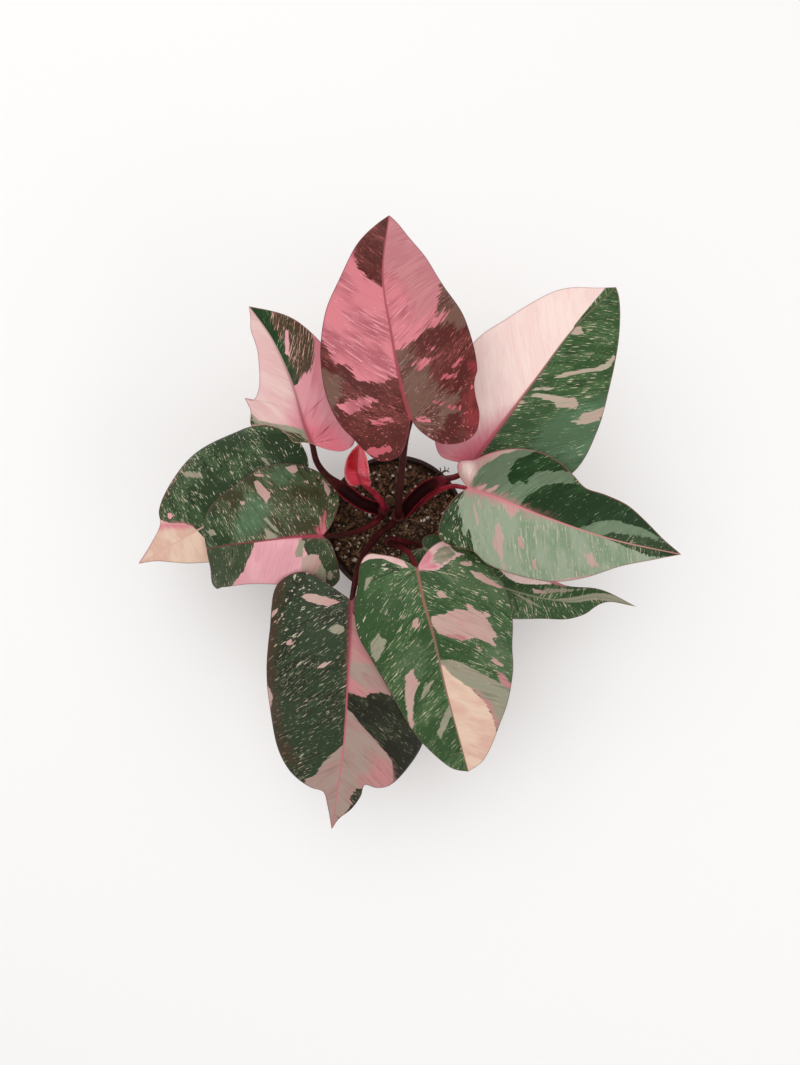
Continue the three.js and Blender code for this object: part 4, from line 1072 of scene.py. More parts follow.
class Sheet:
    """A blade's middle surface."""

    def __init__(self, leaf):
        self.leaf = leaf
        self.path = Path(leaf.midrib)
        self.length = self.path.length

    def frame(self, x):
        inside = np.clip(x, 0, self.length)
        along = self.path.direction(inside)
        left = unit(np.cross(UP, along))
        up = np.cross(along, left)
        origin = self.path.place(inside) + along * (x - inside)[..., None]
        return origin, along, left, up

    def by_side(self, w, field):
        return np.where(w >= 0, getattr(self.leaf.left, field), getattr(self.leaf.right, field))

    def point(self, x, w):
        origin, _, left, up = self.frame(x)
        out = np.abs(w)
        fold = np.radians(self.by_side(w, "fold"))
        span = self.by_side(w, "span")
        bend = np.radians(self.by_side(w, "curl")) / span
        across = (np.sin(fold) - np.sin(fold - bend * out)) / bend
        height = (np.cos(fold - bend * out) - np.cos(fold)) / bend
        wave, count, phase = self.leaf.ripple
        turn = math.tau * count * x / self.length + phase + np.where(w >= 0, 0, RIPPLE_LAG)
        height = height + wave * (out / span) ** 2 * np.sin(turn)
        return origin + left * (np.sign(w) * across)[..., None] + up * height[..., None]

    def normal(self, x, w):
        """Direction out of the upper face, which turns to the midrib's own up close to it."""
        _, _, _, up = self.frame(x)
        side = np.where(w >= 0, 1.0, -1.0)
        along = self.point(x + NUDGE, w) - self.point(x - NUDGE, w)
        across = (self.point(x, side * (np.abs(w) + NUDGE)) - self.point(x, w)) * side[..., None]
        blend = smooth_step(np.abs(w), 0, FLAT_CENTRE)[..., None]
        return unit(up * (1 - blend) + unit(np.cross(along, across)) * blend)


def vein_lines(x, w, lean, bend):
    """Where a point lies across the side veins, and how far out along them, in mm."""
    out = np.abs(w)
    start = x - lean * out - bend * out**2
    ahead = start >= 0
    across = np.where(ahead, start, -FAN_SPREAD * np.arctan2(-start, out))
    return across, np.where(ahead, out, np.hypot(start, out))


def blade_grid(sheet):
    """Columns of points from the left margin over the midrib to the right one, on every row."""
    levels = np.linspace(0, 1, BLADE_ROWS + 1)
    margins = {}
    feet = {}
    for side, shape in ((LEFT, sheet.leaf.left), (RIGHT, sheet.leaf.right)):
        ends = [(0, 0)] + [(part * sheet.length, w) for part, w in shape.margin] + [(sheet.length, 0)]
        dense = np.maximum(margin_curve(ends, MARGIN_STEPS * BLADE_ROWS), [-np.inf, 0])
        even = np.linspace(0, 1, len(dense))
        near, far = shape.sweep or (ROW_SWEEP, ROW_SWEEP)
        sweep = near + (far - near) * smooth_step(even, *SWEEP_CHANGE)
        foot = np.maximum.accumulate(np.clip(dense[:, 0] - sweep * dense[:, 1], 0, sheet.length))
        at = np.interp(levels, EVEN_ROWS * even + (1 - EVEN_ROWS) * foot / sheet.length, even)
        margins[side] = at_run(at, even, dense)
        feet[side] = np.interp(at, even, foot)

    # Rows start at the midrib in order, and leave a little room at the base and at the tip.
    starts = feet[LEFT] if sheet.leaf.left.sweep else (feet[LEFT] + feet[RIGHT]) / 2
    least = np.linspace(0, FAN_START, len(levels))
    most = sheet.length - NUDGE * np.arange(BLADE_ROWS, -1, -1)
    starts = np.minimum(np.maximum.accumulate(np.maximum(starts, least)), most)
    starts[0] = 0
    part = (np.arange(BLADE_COLUMNS + 1) / BLADE_COLUMNS) ** COLUMN_SPREAD
    halves = [
        (starts[:, None] + (margins[side][:, :1] - starts[:, None]) * row, side * margins[side][:, 1:] * row)
        for side, row in ((LEFT, part[::-1]), (RIGHT, part[1:]))]
    x, w = (np.hstack(pair) for pair in zip(*halves))
    return x, w, np.vstack([margins[LEFT], (margins[RIGHT] * [1, -1])[::-1]])


def blade_mesh(name, leaf):
    """A closed blade, and the middle surface that it lies about."""
    sheet = Sheet(leaf)
    x, w, outline = blade_grid(sheet)
    out = np.abs(w)
    across, reach = vein_lines(x, w, *leaf.veins)
    edge = np.maximum(distance_inside(x, w, outline), 0)
    taper = 1 - TIP_TAPER * np.clip(x / sheet.length, 0, 1)

    # Grooves along the side veins, deeper by the midrib and gone at the margin.
    pulse = (0.5 + 0.5 * np.cos(math.tau * across / VEIN_SPACING)) ** VEIN_SHARPNESS
    relief = -VEIN_GROOVE * pulse * smooth_step(out, *VEIN_RISE) * smooth_step(edge, *VEIN_END) * taper
    groove = RIB_GROOVE * taper * np.exp(-((w / GROOVE_WIDTH) ** 2)) * smooth_step(x, *GROOVE_RISE)
    rib = RIB_DEPTH * taper * np.exp(-((w / RIB_WIDTH) ** 2)) * smooth_step(x, *RIB_RISE)
    half = MARGIN_HALF + (SKIN_HALF - MARGIN_HALF) * smooth_step(edge, *EDGE_RISE)

    # One net goes round the upper face and back over the lower one. Its first and last rows are one
    # point for each face.
    upper = np.arange(x.size).reshape(x.shape)
    upper[[0, -1]] = upper[[0, -1], :1]
    net = np.hstack([upper, x.size + upper[:, ::-1], upper[:, :1]])
    used = np.unique(net)
    heights = np.stack([relief + half - groove, relief - half - rib])
    places = sheet.point(x, w) + sheet.normal(x, w) * heights[..., None]
    under = np.zeros_like(heights)
    under[1] = 1

    def on_points(*fields):
        return np.stack([np.broadcast_to(field, under.shape).ravel()[used] for field in fields], axis=-1)

    values = {"vein": on_points(across, reach, edge), "spot": on_points(x / sheet.length, w, under)}
    for index, patch in enumerate(leaf.patches):
        depth = np.max([distance_inside(x, w, shape) for shape in patch.outlines], axis=0)
        values[f"patch_{index}"] = on_points(depth)[:, 0]
    faces = net_faces(np.searchsorted(used, net))
    return new_mesh(name, places.reshape(-1, 3)[used], faces, values), sheet


def leaf_colour(paint, finish, fields):
    """One finish: its ground with clouds, streaks along the veins, specks and flecks."""
    cloud, streak, dash, speck = fields
    thick = (cloud - 0.5) * 0.2 - finish.rare
    if finish.fine:
        specks, dashes = (speck + thick).step(0.01, 0.05) * 0.72, (dash + thick).step(0.03, 0.04)
    else:
        specks, dashes = (speck + thick).step(0.02, 0.05) * 0.55, (dash + thick).step(-0.01, 0.025)
    return paint.coats(
        finish.ground,
        (cloud.step(0.4, 0.62), finish.cloud),
        (streak.step(0.48, 0.7) * cloud.step(0.36, 0.56), finish.streak),
        (specks, finish.fleck),
        (dashes, finish.fleck))


def leaf_paint(name, leaf, seed):
    paint = Paint(name + "_paint")
    across, reach, edge = paint.parts(paint.attribute("vein").output(1))
    along, w, under = paint.parts(paint.attribute("spot").output(1))
    out = abs(w)
    left = w.step(-0.06, 0.06)
    page = left * HALF_PAGE + seed

    def stretched(width, length, detail=2.0):
        """Noise so many mm wide across the veins and long along them."""
        return paint.noise(paint.vector(across / width, reach / length, page), 1.0, detail, 0.55)

    fields = cloud, _, _, speck = [stretched(*size) for size in LEAF_NOISE]
    finishes = {leaf.grounds[1], leaf.grounds[0], *(patch.finish for patch in leaf.patches)}
    colours = {finish: leaf_colour(paint, FINISHES[finish], fields) for finish in sorted(finishes)}
    colour = paint.mix(left, colours[leaf.grounds[1]], colours[leaf.grounds[0]])
    fringe = (stretched(1.7, 9, 3) - 0.5 + (stretched(0.8, 4) - 0.5) * 0.35) * out.step(0.2, 5)
    sides = {LEFT: left, RIGHT: 1 - left, BOTH: 1}
    for index, patch in enumerate(leaf.patches):
        depth = paint.attribute(f"patch_{index}") + fringe * (2 * patch.jag)
        inside = depth.step(-patch.soft, patch.soft) * sides[patch.side]
        colour = paint.mix(inside, colour, colours[patch.finish])

    # Over the patches come the skin's own relief, the veins, the midrib with its glow and the rim.
    height = stretched(0.55, 7) * 0.7 + speck * 0.3
    veins = (across * (math.tau / VEIN_SPACING)).cosine().step(0.9, 1) * out.step(1, 5) * edge.step(1, 12)
    base, tip, halo = leaf.rib
    rib = paint.mix(along.step(0.05, 0.7), base, tip)
    glow = (1 - (out / halo + fringe * 4).step(0.2, 1)) * (1 - along.step(0.02, 0.45))
    midrib = 1 - (out / (1.15 - along * 0.75)).step(0.45, 1.0)
    colour = paint.coats(
        colour,
        (height.step(0.42, 0.6) * 0.1, (186, 184, 182), "MULTIPLY"),
        (veins * 0.12, (205, 200, 196), "MULTIPLY"),
        (glow * 0.6, rib),
        (midrib * 0.9, rib),
        ((1 - edge.step(0.1, 0.75)) * 0.7, leaf.edge),
        (under * 0.5, UNDERSIDE))
    dull, shine = GLOSSY_SKIN if name == "new_leaf" else LEAF_SKIN
    return paint.finish(colour, cloud * 0.12 + dull, (height, 0.09, 0.6), **shine)


# ---------------------------------------------------------------- stalks, stems and the old sheath

def stalk_paint(name, foot, head):
    paint, _, cloud, fine = grained(name, (220, 3, 0.6), (1600, 2, 0.6), stretch=0.25)
    along = paint.attribute("along")
    clouds = cloud.step(0.4, 0.62)
    # Painted shade: the hollow of an open sheath is coloured near black, most deeply towards the foot.
    channel = paint.attribute("inside").step(0.15, 0.8) * (0.9 - along.step(0.28, 0.48) * 0.7)
    colour = paint.coats(
        paint.mix(clouds, *STALK_COLOURS[foot]),
        (along.step(0.1, 0.6), paint.mix(clouds, *STALK_COLOURS[head])),
        (fine.step(0.6, 0.7) * 0.2, (140, 70, 66)),
        (channel, (30, 13, 13)),
        (paint.attribute("lip").step(0.35, 0.85) * 0.9, (178, 48, 66)))
    return paint.finish(colour, cloud * 0.15 + 0.38, (fine, 0.1, 0.5), specular=0.09)


def stem_paint():
    paint, _, cloud, fine = grained("stem_bark", (180, 3, 0.6), (900, 3, 0.65))
    colour = paint.coats(
        (74, 50, 38),
        (cloud.step(0.4, 0.6), (60, 52, 36)),
        (fine.step(0.5, 0.65), (44, 30, 24)),
        (paint.attribute("ring").step(0.6, 1) * 0.5, (96, 66, 48)),
        (paint.attribute("along").step(0.75, 0.95), (92, 24, 32)))
    return paint.finish(colour, 0.7, (fine, 0.5, 0.8))


def sheath_paint():
    paint, _, cloud, fine = grained("old_sheath_paper", (260, 3, 0.6), (1500, 3, 0.65), stretch=0.2)
    colour = paint.coats(
        (158, 130, 98),
        (cloud.step(0.38, 0.62), (116, 88, 64)),
        (fine.step(0.54, 0.68), (78, 57, 44)))
    return paint.finish(colour, 0.9, (fine, 0.6, 0.9))


def tube_growth(name, sizes, section):
    """A tree that sweeps a section along the object's line of points.

    section takes the tree, the part of the way along, the angle round and the sizes, and gives how
    far the surface lies across and above the line, and what the shading needs to know there.
    """
    growth = Growth(name, {"Facing": (0.0, 0.0, 1.0), "Sides": 28, **sizes})
    tangent = growth.node("GeometryNodeInputTangent")
    across = growth.vector_math("CROSS_PRODUCT", tangent, growth.sizes["Facing"])
    across = growth.vector_math("NORMALIZE", across)
    line = growth.node("GeometryNodeMeshToCurve", {}, {0: growth.start})
    line = growth.keep(line, along=growth.node("GeometryNodeSplineParameter"))
    top = growth.vector_math("CROSS_PRODUCT", across, tangent)
    line = growth.keep(line, "FLOAT_VECTOR", centre=growth.here(), across=across, top=top)
    tube = growth.swept(line, growth.ring(growth.sizes["Sides"], 1.0), True)
    angle = growth.named("turn") * -math.tau
    side, rise, notes = section(growth, growth.named("along"), angle, growth.sizes)
    centre, across, top = (growth.named(label, "FLOAT_VECTOR") for label in ("centre", "across", "top"))
    offset = growth.vector_math("ADD", growth.scaled(across, side), growth.scaled(top, rise))
    tube = growth.keep(tube, **notes)
    return growth.finish(growth.moved(tube, Position=growth.vector_math("ADD", centre, offset)))


def mixed(low, high, part):
    return low + (high - low) * part


def channel(width, depth, opened, angle, sink, bow):
    """A round section whose upper half sinks in and whose sides rise, as far as it is opened."""
    upper = (angle.sine() > 0.0) * opened
    rise = opened * depth * bow * angle.cosine() ** 2
    return width * angle.cosine(), depth * angle.sine() * (1 - upper * sink) + rise, upper


def stalk_section(growth, along, angle, sizes):
    """A round stalk, or where it has a sheath, one that starts as an open channel."""
    sheath = sizes["Sheath end"]
    size = mixed(sizes["Foot radius"], sizes["Head radius"], along)
    size = size * (1 - along.step(sizes["Run-out"], 1.0) * RUN_OUT_TAPER)
    opened = (1 - along.step(sheath * SHEATH_CLOSES, sheath)) * (sheath > TINY)
    wide, deep = (mixed(size, sizes[label], opened) for label in ("Sheath width", "Sheath depth"))
    side, rise, upper = channel(wide, deep, opened, angle, sink=1.7, bow=0.5)
    # inside marks the sheath's hollow, which the stalk paint fills with painted shade; lip marks its red
    # edges.
    return side, rise, {"inside": upper * angle.sine(), "lip": opened * abs(angle.cosine()) ** 4}


def papery_section(growth, along, angle, sizes):
    """A dry, crumpled channel that narrows to its top."""
    wide = sizes["Width"] * (1 - along * along * OLD_SHEATH_TAPER)
    side, rise, _ = channel(wide, sizes["Depth"], 1, angle, sink=1.458, bow=0.45)
    crumple = growth.noise(growth.here(), 420, 3, 0.7) - 0.5
    shift = crumple * (CRUMPLE * MM)
    return side + shift, rise + shift, {"crumple": crumple}


def stem_section(growth, along, angle, sizes):
    """A stem with a swollen ring at each joint and a rounded top."""
    wave = (along * (math.tau * STEM_RINGS)).cosine()
    ring = wave.math("MAXIMUM", wave, 0)
    crown = (1 - along.step(STEM_SHOULDER, 1) ** 2 * STEM_TAPER) ** 0.5
    lumps = growth.noise(growth.here(), 300, 2, 0.6) - 0.5
    wide = sizes["Radius"] * crown + ring ** 4 * (RING_SWELL * MM) + lumps * (STEM_LUMPS * MM)
    return wide * angle.cosine(), wide * angle.sine(), {"ring": ring}


def root_section(growth, along, angle, sizes):
    """A thin root that narrows to its end."""
    wide = sizes["Radius"] * (1 - along * ROOT_TAPER)
    return wide * angle.cosine(), wide * angle.sine(), {}


def stalk_line(leaf, sheet):
    """Places from inside the stem to the blade's underside, and the part of the way that lies under it."""
    route, radius = leaf.stalk.route, leaf.stalk.radius[1]
    origin, _, _, up = (v[0] for v in sheet.frame(np.zeros(1)))
    approach = unit(origin - np.array(route[-1]))
    slant = math.sqrt(max(1 - float(approach @ up) ** 2, 0))
    path = Path([*route, tuple(origin - up * (BLADE_HALF + radius * slant))])
    reach = path.length - STALK_BEND
    heading = path.direction(np.array([reach]))[0]

    # Under the midrib the stalk narrows, and its upper side stays just below the blade.
    run = np.linspace(RUN_OUT_START, 1, RUN_OUT_STEPS)
    below = BLADE_HALF + radius * (1 - RUN_OUT_TAPER * smooth_step(run, 0, 1))
    under, under_along, _, under_up = sheet.frame(run * min(RUN_OUT, RUN_OUT_MOST * sheet.length))
    under = under - under_up * below[:, None]
    pull = STALK_BEND * BEND_PULL
    start = path.place(np.linspace(0, reach, STALK_STEPS))
    turn = bend_through(
        start[-1], start[-1] + heading * pull, under[0] - under_along[0] * pull, under[0], BEND_STEPS)
    places = np.vstack([start, turn[1:-1], under])
    steps = np.linalg.norm(np.diff(places, axis=0), axis=1)
    return places, steps[-len(run):].sum() / steps.sum()


def add_stalk(name, leaf, sheet, growth):
    places, run_out = stalk_line(leaf, sheet)
    width, depth, end = leaf.stalk.sheath or (1, 1, 0)
    foot, head = leaf.stalk.radius
    values = {
        "Foot radius": foot * MM,
        "Head radius": head * MM,
        "Sheath width": width * MM,
        "Sheath depth": depth * MM,
        "Sheath end": float(end),
        "Run-out": float(1 - run_out),
        "Material": stalk_paint(name + "_stalk_skin", *leaf.stalk.colours),
    }
    mesh = growth.grow(new_mesh(name + "_petiole", places), values)
    new_piece(name + "_petiole", mesh, name + "_stalk")


def add_plant():
    stalks = tube_growth("stalk", {
        "Foot radius": 0.003, "Head radius": 0.002, "Sheath width": 0.004, "Sheath depth": 0.004,
        "Sheath end": 0.0, "Run-out": 0.9}, stalk_section)
    for index, (name, leaf) in enumerate(LEAVES.items()):
        mesh, sheet = blade_mesh(name + "_lamina", leaf)
        paint = leaf_paint(name, leaf, LEAF_PAGE * index)
        new_piece(name + "_lamina", mesh, name + "_blade", paint)
        add_stalk(name, leaf, sheet, stalks)

    stems = tube_growth("stem", {"Radius": 0.004}, stem_section)
    bark = stem_paint()
    for name, (at, lean, radius, top) in STEMS.items():
        foot = SOIL_EDGE - STEM_DEPTH
        route = [(at[0] + lean[0] * u, at[1] + lean[1] * u, foot + (top - foot) * u) for u in (0, 0.5, 1)]
        values = {"Facing": (0.0, 1.0, 0.0), "Radius": radius * MM, "Material": bark}
        mesh = stems.grow(new_mesh(name + "_wood", Path(route).even_places(STEM_STEPS)), values)
        new_piece(name + "_wood", mesh, name)

    papers = tube_growth("old_sheath", {"Width": 0.004, "Depth": 0.003}, papery_section)
    values = {"Facing": (0.4, -1.0, 0.0), "Width": 4.4 * MM, "Depth": 2.6 * MM, "Material": sheath_paint()}
    mesh = papers.grow(new_mesh("old_sheath", Path(OLD_SHEATH).even_places(OLD_SHEATH_STEPS)), values)
    new_piece("old_sheath", mesh, "dry_sheath")


# ---------------------------------------------------------------- potting mix

def wall_radius(z):
    return BASE_RADIUS + (MOUTH_RADIUS - BASE_RADIUS) * z / POT_HEIGHT


def soil_edge(z):
    """The potting mix's radius at a height inside the pot."""
    return wall_radius(z) - WALL - GAP


def soil_height(x, y):
    """Height of the even surface, whose humps and ridges are the CAD model's."""
    edge = soil_edge(SOIL_EDGE)
    mound = SOIL_CROWN * (1 - (x * x + y * y) / (edge * edge))
    humps = math.sin(0.31 * x + 1.3) * math.sin(0.27 * y + 0.4)
    ridges = 0.6 * math.sin(0.53 * x - 0.47 * y)
    return SOIL_EDGE + mound + SOIL_RELIEF * (humps + ridges)


def crumb_height(x, y):
    """Height of the crumbly surface, whose crumbs lie about the even one."""
    crumbs = noise.fractal(Vector((x * CRUMB_PITCH, y * CRUMB_PITCH, 4.0)), 1.0, 2.0, 5)
    return soil_height(x, y) + CRUMB_RELIEF * crumbs - CRUMB_DROP


def crumbly_levels(edge, rings):
    """Radius and height of the surface's rings, from its middle outwards."""
    return [(0, soil_height)] + [(edge * i / rings, crumb_height) for i in range(1, rings + 1)]


def ringed(levels, sectors):
    """Points in rings about the pot's axis, and the net of their numbers, a row for each level."""
    places = []
    net = []
    for radius, height in levels:
        count = sectors if radius else 1
        net.append(len(places) + np.arange(sectors + 1) % count)
        for k in range(count):
            angle = math.tau * k / sectors
            x, y = radius * math.cos(angle), radius * math.sin(angle)
            places.append((x, y, height(x, y)))
    return places, np.array(net)


def soil_mesh():
    """The potting mix as a closed body with a crumbly surface."""
    foot = FLOOR + GAP
    rings, sectors = SOIL_NET
    below = [(radius, lambda x, y: foot) for radius in (0, soil_edge(foot))]
    places, net = ringed(below + crumbly_levels(soil_edge(SOIL_EDGE), rings)[::-1], sectors)
    return new_mesh("potting_mix", places, net_faces(net))


def soil_surface():
    """The open top of the potting mix, on which loose bits lie."""
    rings, sectors = FIELD_NET
    places, net = ringed(crumbly_levels(soil_edge(SOIL_EDGE) - BIT_MARGIN, rings), sectors)
    return new_mesh("soil_field", places, net_faces(net.T))


def soil_paint():
    paint, _, clods, grit = grained("potting_mix_crumb", (260, 4, 0.65), (1100, 4, 0.7))
    colour = paint.coats(
        (64, 46, 33),
        (clods.step(0.38, 0.62), (104, 78, 57)),
        (grit.step(0.5, 0.7), (34, 23, 17)),
        (grit.step(0.68, 0.74), (150, 122, 92)))
    return paint.finish(colour, 0.92, (grit + clods, 1.2, 0.9), specular=0.25)


def bit_paint(name, light, dark, roughness):
    """Loose bits of one kind, each a little lighter or darker."""
    paint, _, tone, fine = grained(name, (330, 1, 0.5), (2200, 3, 0.6))
    colour = paint.coats(
        light,
        (tone.step(0.36, 0.64), dark),
        (fine.step(0.52, 0.7) * 0.6, tuple(c * 0.7 for c in dark)))
    return paint.finish(colour, roughness, (fine, 0.4, 0.7), specular=0.3)


def scatter_growth(name, shape):
    """A tree that lays lumps of one shape on the object's faces."""
    growth = Growth(name, {"Count for each square metre": 1000.0, "Seed": 0, "Smallest": 0.001,
                           "Largest": 0.002, "Lift": 0.0, "Tilt": 3.0})
    sizes = growth.sizes
    spots = growth.node(
        "GeometryNodeDistributePointsOnFaces", {"distribute_method": "RANDOM"},
        {"Mesh": growth.start, "Density": sizes["Count for each square metre"], "Seed": sizes["Seed"]})
    most_turn = growth.vector(sizes["Tilt"], sizes["Tilt"], BIT_SPIN)
    turn = growth.node(
        "FunctionNodeRandomValue", {"data_type": "FLOAT_VECTOR"},
        {0: growth.scaled(most_turn, -1.0), 1: most_turn, "Seed": sizes["Seed"]})
    size = growth.node(
        "FunctionNodeRandomValue", {"data_type": "FLOAT"},
        {2: sizes["Smallest"], 3: sizes["Largest"], "Seed": sizes["Seed"]}, 1)
    lumps = growth.node(
        "GeometryNodeInstanceOnPoints", {},
        {"Points": spots, "Instance": shape(growth), "Rotation": turn, "Scale": size})
    solid = growth.node("GeometryNodeRealizeInstances", {}, {0: lumps})
    wobble = (growth.noise(growth.here(), 900, 1, 0.5) - 0.5) * (BIT_WOBBLE * MM)
    wobble = growth.scaled(growth.node("GeometryNodeInputNormal"), wobble)
    offset = growth.vector_math("ADD", wobble, growth.vector(0.0, 0.0, sizes["Lift"]))
    return growth.finish(growth.moved(solid, Offset=offset))


def lump(growth):
    return growth.node("GeometryNodeMeshUVSphere", {}, {"Segments": 7, "Rings": 5, "Radius": 1.0})


def chip(growth):
    return growth.node("GeometryNodeMeshCube", {}, {
        "Size": (2.4, 1.5, 0.7), "Vertices X": 3, "Vertices Y": 3, "Vertices Z": 2})


def fibre(growth):
    line = growth.node("GeometryNodeMeshLine", {"mode": "END_POINTS", "count_mode": "TOTAL"},
                       {"Count": 7, "Start Location": (-5.0, 0.0, 0.0), 3: (5.0, 0.0, 0.0)})
    bend = growth.noise(growth.here(), 0.35, 1, 0.5) - 0.5
    line = growth.moved(line, Offset=growth.vector(0.0, bend * 6, bend * 2))
    curve = growth.node("GeometryNodeMeshToCurve", {}, {0: line})
    return growth.swept(curve, growth.ring(4, 0.2), True)


# Loose bits on the potting mix: how many lie on each square metre, the smallest and largest size,
# how far they are lifted, how far they may tilt, in radians, and a light and a dark colour
Bits = namedtuple("Bits", "shape count seed least most lift tilt light dark roughness")
LOOSE_BITS = {
    "grit": Bits(lump, 300000.0, 3, 0.35, 1.5, 0.1, 3.0, (132, 100, 74), (50, 35, 26), 0.92),
    "bark": Bits(chip, 30000.0, 5, 0.7, 1.8, 0.3, 0.9, (150, 112, 80), (74, 50, 36), 0.88),
    "perlite": Bits(lump, 30000.0, 8, 0.35, 1.4, 0.6, 3.0, (240, 234, 222), (206, 194, 176), 0.8),
    "coir": Bits(fibre, 24000.0, 11, 0.6, 1.4, 0.9, 0.4, (176, 142, 108), (98, 72, 52), 0.85),
}


def add_potting_mix():
    new_piece("potting_mix", soil_mesh(), "soil", soil_paint())
    for name, bits in LOOSE_BITS.items():
        values = {
            "Count for each square metre": bits.count,
            "Seed": bits.seed,
            "Smallest": bits.least * MM,
            "Largest": bits.most * MM,
            "Lift": bits.lift * MM,
            "Tilt": bits.tilt,
            "Material": bit_paint(name + "_bits", bits.light, bits.dark, bits.roughness),
        }
        mesh = scatter_growth("scattered_" + name, bits.shape).grow(soil_surface(), values)
        new_piece(name, mesh)

    roots = tube_growth("rootlet", {"Radius": 0.0003}, root_section)
    bark = bit_paint("rootlet_bark", (92, 64, 50), (58, 40, 32), 0.85)
    for index, (route, radius) in enumerate(ROOTLETS):
        values = {"Sides": 8, "Radius": radius * MM, "Material": bark}
        mesh = roots.grow(new_mesh("rootlet", Path(route).even_places(ROOT_STEPS)), values)
        new_piece(f"rootlet_{index}", mesh)


# ---------------------------------------------------------------- pot

def pot_growth():
    """A tree that turns the object's profile line about the pot's axis and cuts the drain holes."""
    growth = Growth("turned_pot", {
        "Sides": POT_SIDES, "Drain holes": 8, "Drain radius": 0.003, "Drain ring": 0.02})
    sizes = growth.sizes
    profile = growth.node("GeometryNodeMeshToCurve", {}, {0: growth.start})
    profile = growth.keep(profile, "FLOAT_VECTOR", centre=growth.here())
    shell = growth.swept(profile, growth.ring(sizes["Sides"], 1.0), False)
    angle = growth.named("turn") * math.tau
    radius, _, height = growth.parts(growth.named("centre", "FLOAT_VECTOR"))
    place = growth.vector(radius * angle.cosine(), radius * angle.sine(), height)
    shell = growth.moved(shell, Position=place)
    shell = growth.node("GeometryNodeMergeByDistance", {}, {"Geometry": shell, "Distance": 1e-6})
    holes = growth.node("GeometryNodeMeshCircle", {}, {
        "Vertices": sizes["Drain holes"], "Radius": sizes["Drain ring"]})
    drill = growth.node("GeometryNodeMeshCylinder", {}, {
        "Vertices": DRILL_SIDES, "Radius": sizes["Drain radius"], "Depth": DRILL_DEPTH * MM})
    holes = growth.node("GeometryNodeInstanceOnPoints", {}, {"Points": holes, "Instance": drill})
    holes = growth.node("GeometryNodeRealizeInstances", {}, {0: holes})
    cut = growth.node("GeometryNodeMeshBoolean", {"operation": "DIFFERENCE"}, {0: shell, 1: holes})
    return growth.finish(cut)


def arc(centre, radius, turn):
    """Points of a rounded edge on the profile, between two angles from straight out."""
    across, up = centre
    return [(across + radius * math.cos(a), up + radius * math.sin(a)) for a in np.linspace(*turn, ARC_STEPS)]


def pot_profile():
    """Outline of the pot's wall as (radius, height), from the middle of its underside to its floor."""
    turn = POT_HEIGHT - WALL
    skirt = POT_HEIGHT - SKIRT_DROP
    skirt_inside = RIM_RADIUS - SKIRT_WALL
    mouth = wall_radius(POT_HEIGHT) - WALL
    underside = [(0, 1.2), (14, 1.2), (15, 0.9), (18, 0.9), (19, 0.2), (BASE_RADIUS - 2.4, 0.0)]
    heel = arc((BASE_RADIUS - HEEL_ROUND, HEEL_ROUND), HEEL_ROUND, (0.2 - math.pi / 2, 1.45 - math.pi / 2))
    wall = []
    for z in np.linspace(4, turn - 1, WALL_STEPS):
        shelves = sum(depth * smooth_step(z, low, high) for depth, low, high in WALL_SHELVES)
        wall.append((wall_radius(z) - WALL_INSET + shelves, z))
    wall[-1] = (wall_radius(turn), turn - 0.2)
    rim = [(skirt_inside - 0.3, turn - 0.1), (skirt_inside, turn - 0.5), (skirt_inside, skirt + 0.3),
           (skirt_inside + 0.3, skirt), (RIM_RADIUS - 0.3, skirt), (RIM_RADIUS, skirt + 0.3)]
    lip = arc((RIM_RADIUS - LIP_ROUND, POT_HEIGHT - LIP_ROUND), LIP_ROUND, (0, math.pi / 2))
    inner_lip = [(mouth + 0.9, POT_HEIGHT), (mouth + 0.3, POT_HEIGHT - 0.3),
                 (wall_radius(turn) - WALL, turn - 0.4)]
    inside = [(wall_radius(z) - WALL, z) for z in (70, 50, 30, 12, FLOOR + 1.5)]
    floor = [(wall_radius(FLOOR) - WALL - 1.2, FLOOR), (20, FLOOR + 0.1), (0, FLOOR + 0.1)]
    return underside + heel + wall + rim + lip + inner_lip + inside + floor


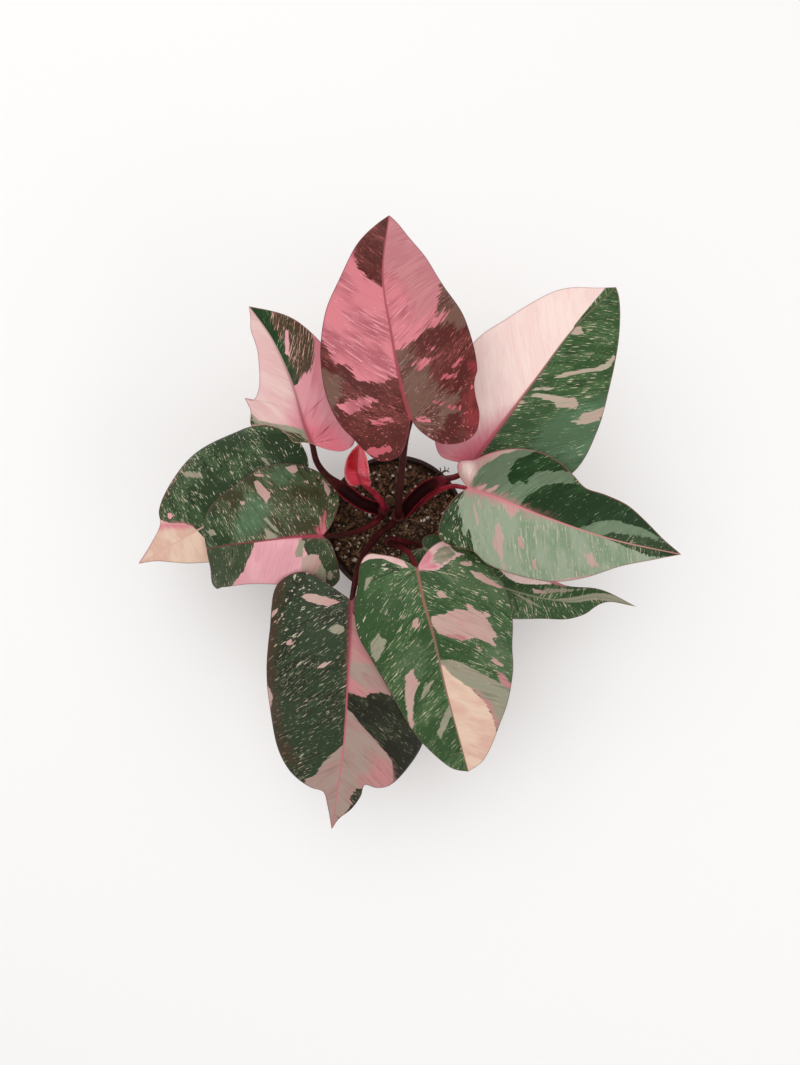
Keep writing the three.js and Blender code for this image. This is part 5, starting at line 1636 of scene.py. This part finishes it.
def pot_paint():
    paint, place, cloud, fine = grained("pot_plastic", (30, 3, 0.6), (1400, 2, 0.6))
    _, _, height = paint.parts(place)
    rim = height.step((POT_HEIGHT - 6) * MM, (POT_HEIGHT - 0.5) * MM)
    colour = paint.coats(
        (46, 37, 33),
        (cloud.step(0.35, 0.65), (58, 46, 40)),
        (paint.noise(place, 90, 4, 0.65).step(0.5, 0.75) * 0.5, (96, 76, 60)),
        (rim * 0.9, (46, 27, 20)),
        (rim * paint.noise(place, 700, 3, 0.6).step(0.5, 0.6) * 0.7, (82, 57, 43)))
    return paint.finish(colour, cloud * 0.2 + 0.4, (fine, 0.1, 0.5), specular=0.3)


def add_pot():
    values = {
        "Drain holes": DRAIN_HOLES,
        "Drain radius": DRAIN_RADIUS * MM,
        "Drain ring": DRAIN_RING * MM,
        "Material": pot_paint(),
    }
    profile = new_mesh("pot_profile", [(radius, 0, z) for radius, z in pot_profile()])
    new_piece("nursery_pot", pot_growth().grow(profile, values), "pot")


# ---------------------------------------------------------------- stage, light and camera

def add_stage():
    corners = [(x, y, 0) for x, y in ((-1, -1), (1, -1), (1, 1), (-1, 1))]
    mesh = new_mesh("floor", np.array(corners) * FLOOR_HALF, [(0, 1, 2, 3)])
    mesh.materials.append(Paint("floor_white").finish(linear((246, 245, 244)), 0.9, specular=0.1))
    new_object("floor", mesh)


def add_light(name, place, size, power):
    """A soft round light that looks at the plant's middle."""
    light = bpy.data.lights.new(name, "AREA")
    light.shape = "DISK"
    light.size = size
    light.energy = power
    lamp = new_object(name, light)
    lamp.location = place
    lamp.rotation_euler = (Vector(LIT_PLACE) - Vector(place)).to_track_quat("-Z", "Y").to_euler()


def add_lights_and_camera():
    for name, (place, size, power) in LIGHTS.items():
        add_light(name, place, size, power)
    world = bpy.data.worlds.new("studio")
    world.use_nodes = True
    light, strength = world.node_tree.nodes["Background"].inputs[:2]
    light.default_value = SKY_COLOUR
    strength.default_value = SKY_STRENGTH
    scene = bpy.context.scene
    scene.world = world
    scene.view_settings.view_transform = "Standard"
    camera = bpy.data.cameras.new("camera")
    camera.lens = CAMERA_LENS
    camera.sensor_width = 36
    camera.clip_start = 0.01
    stand = new_object("camera", camera)
    stand.location = [c * MM for c in CAMERA_PLACE]
    scene.camera = stand


add_lights_and_camera()
add_stage()
add_pot()
add_potting_mix()
add_plant()
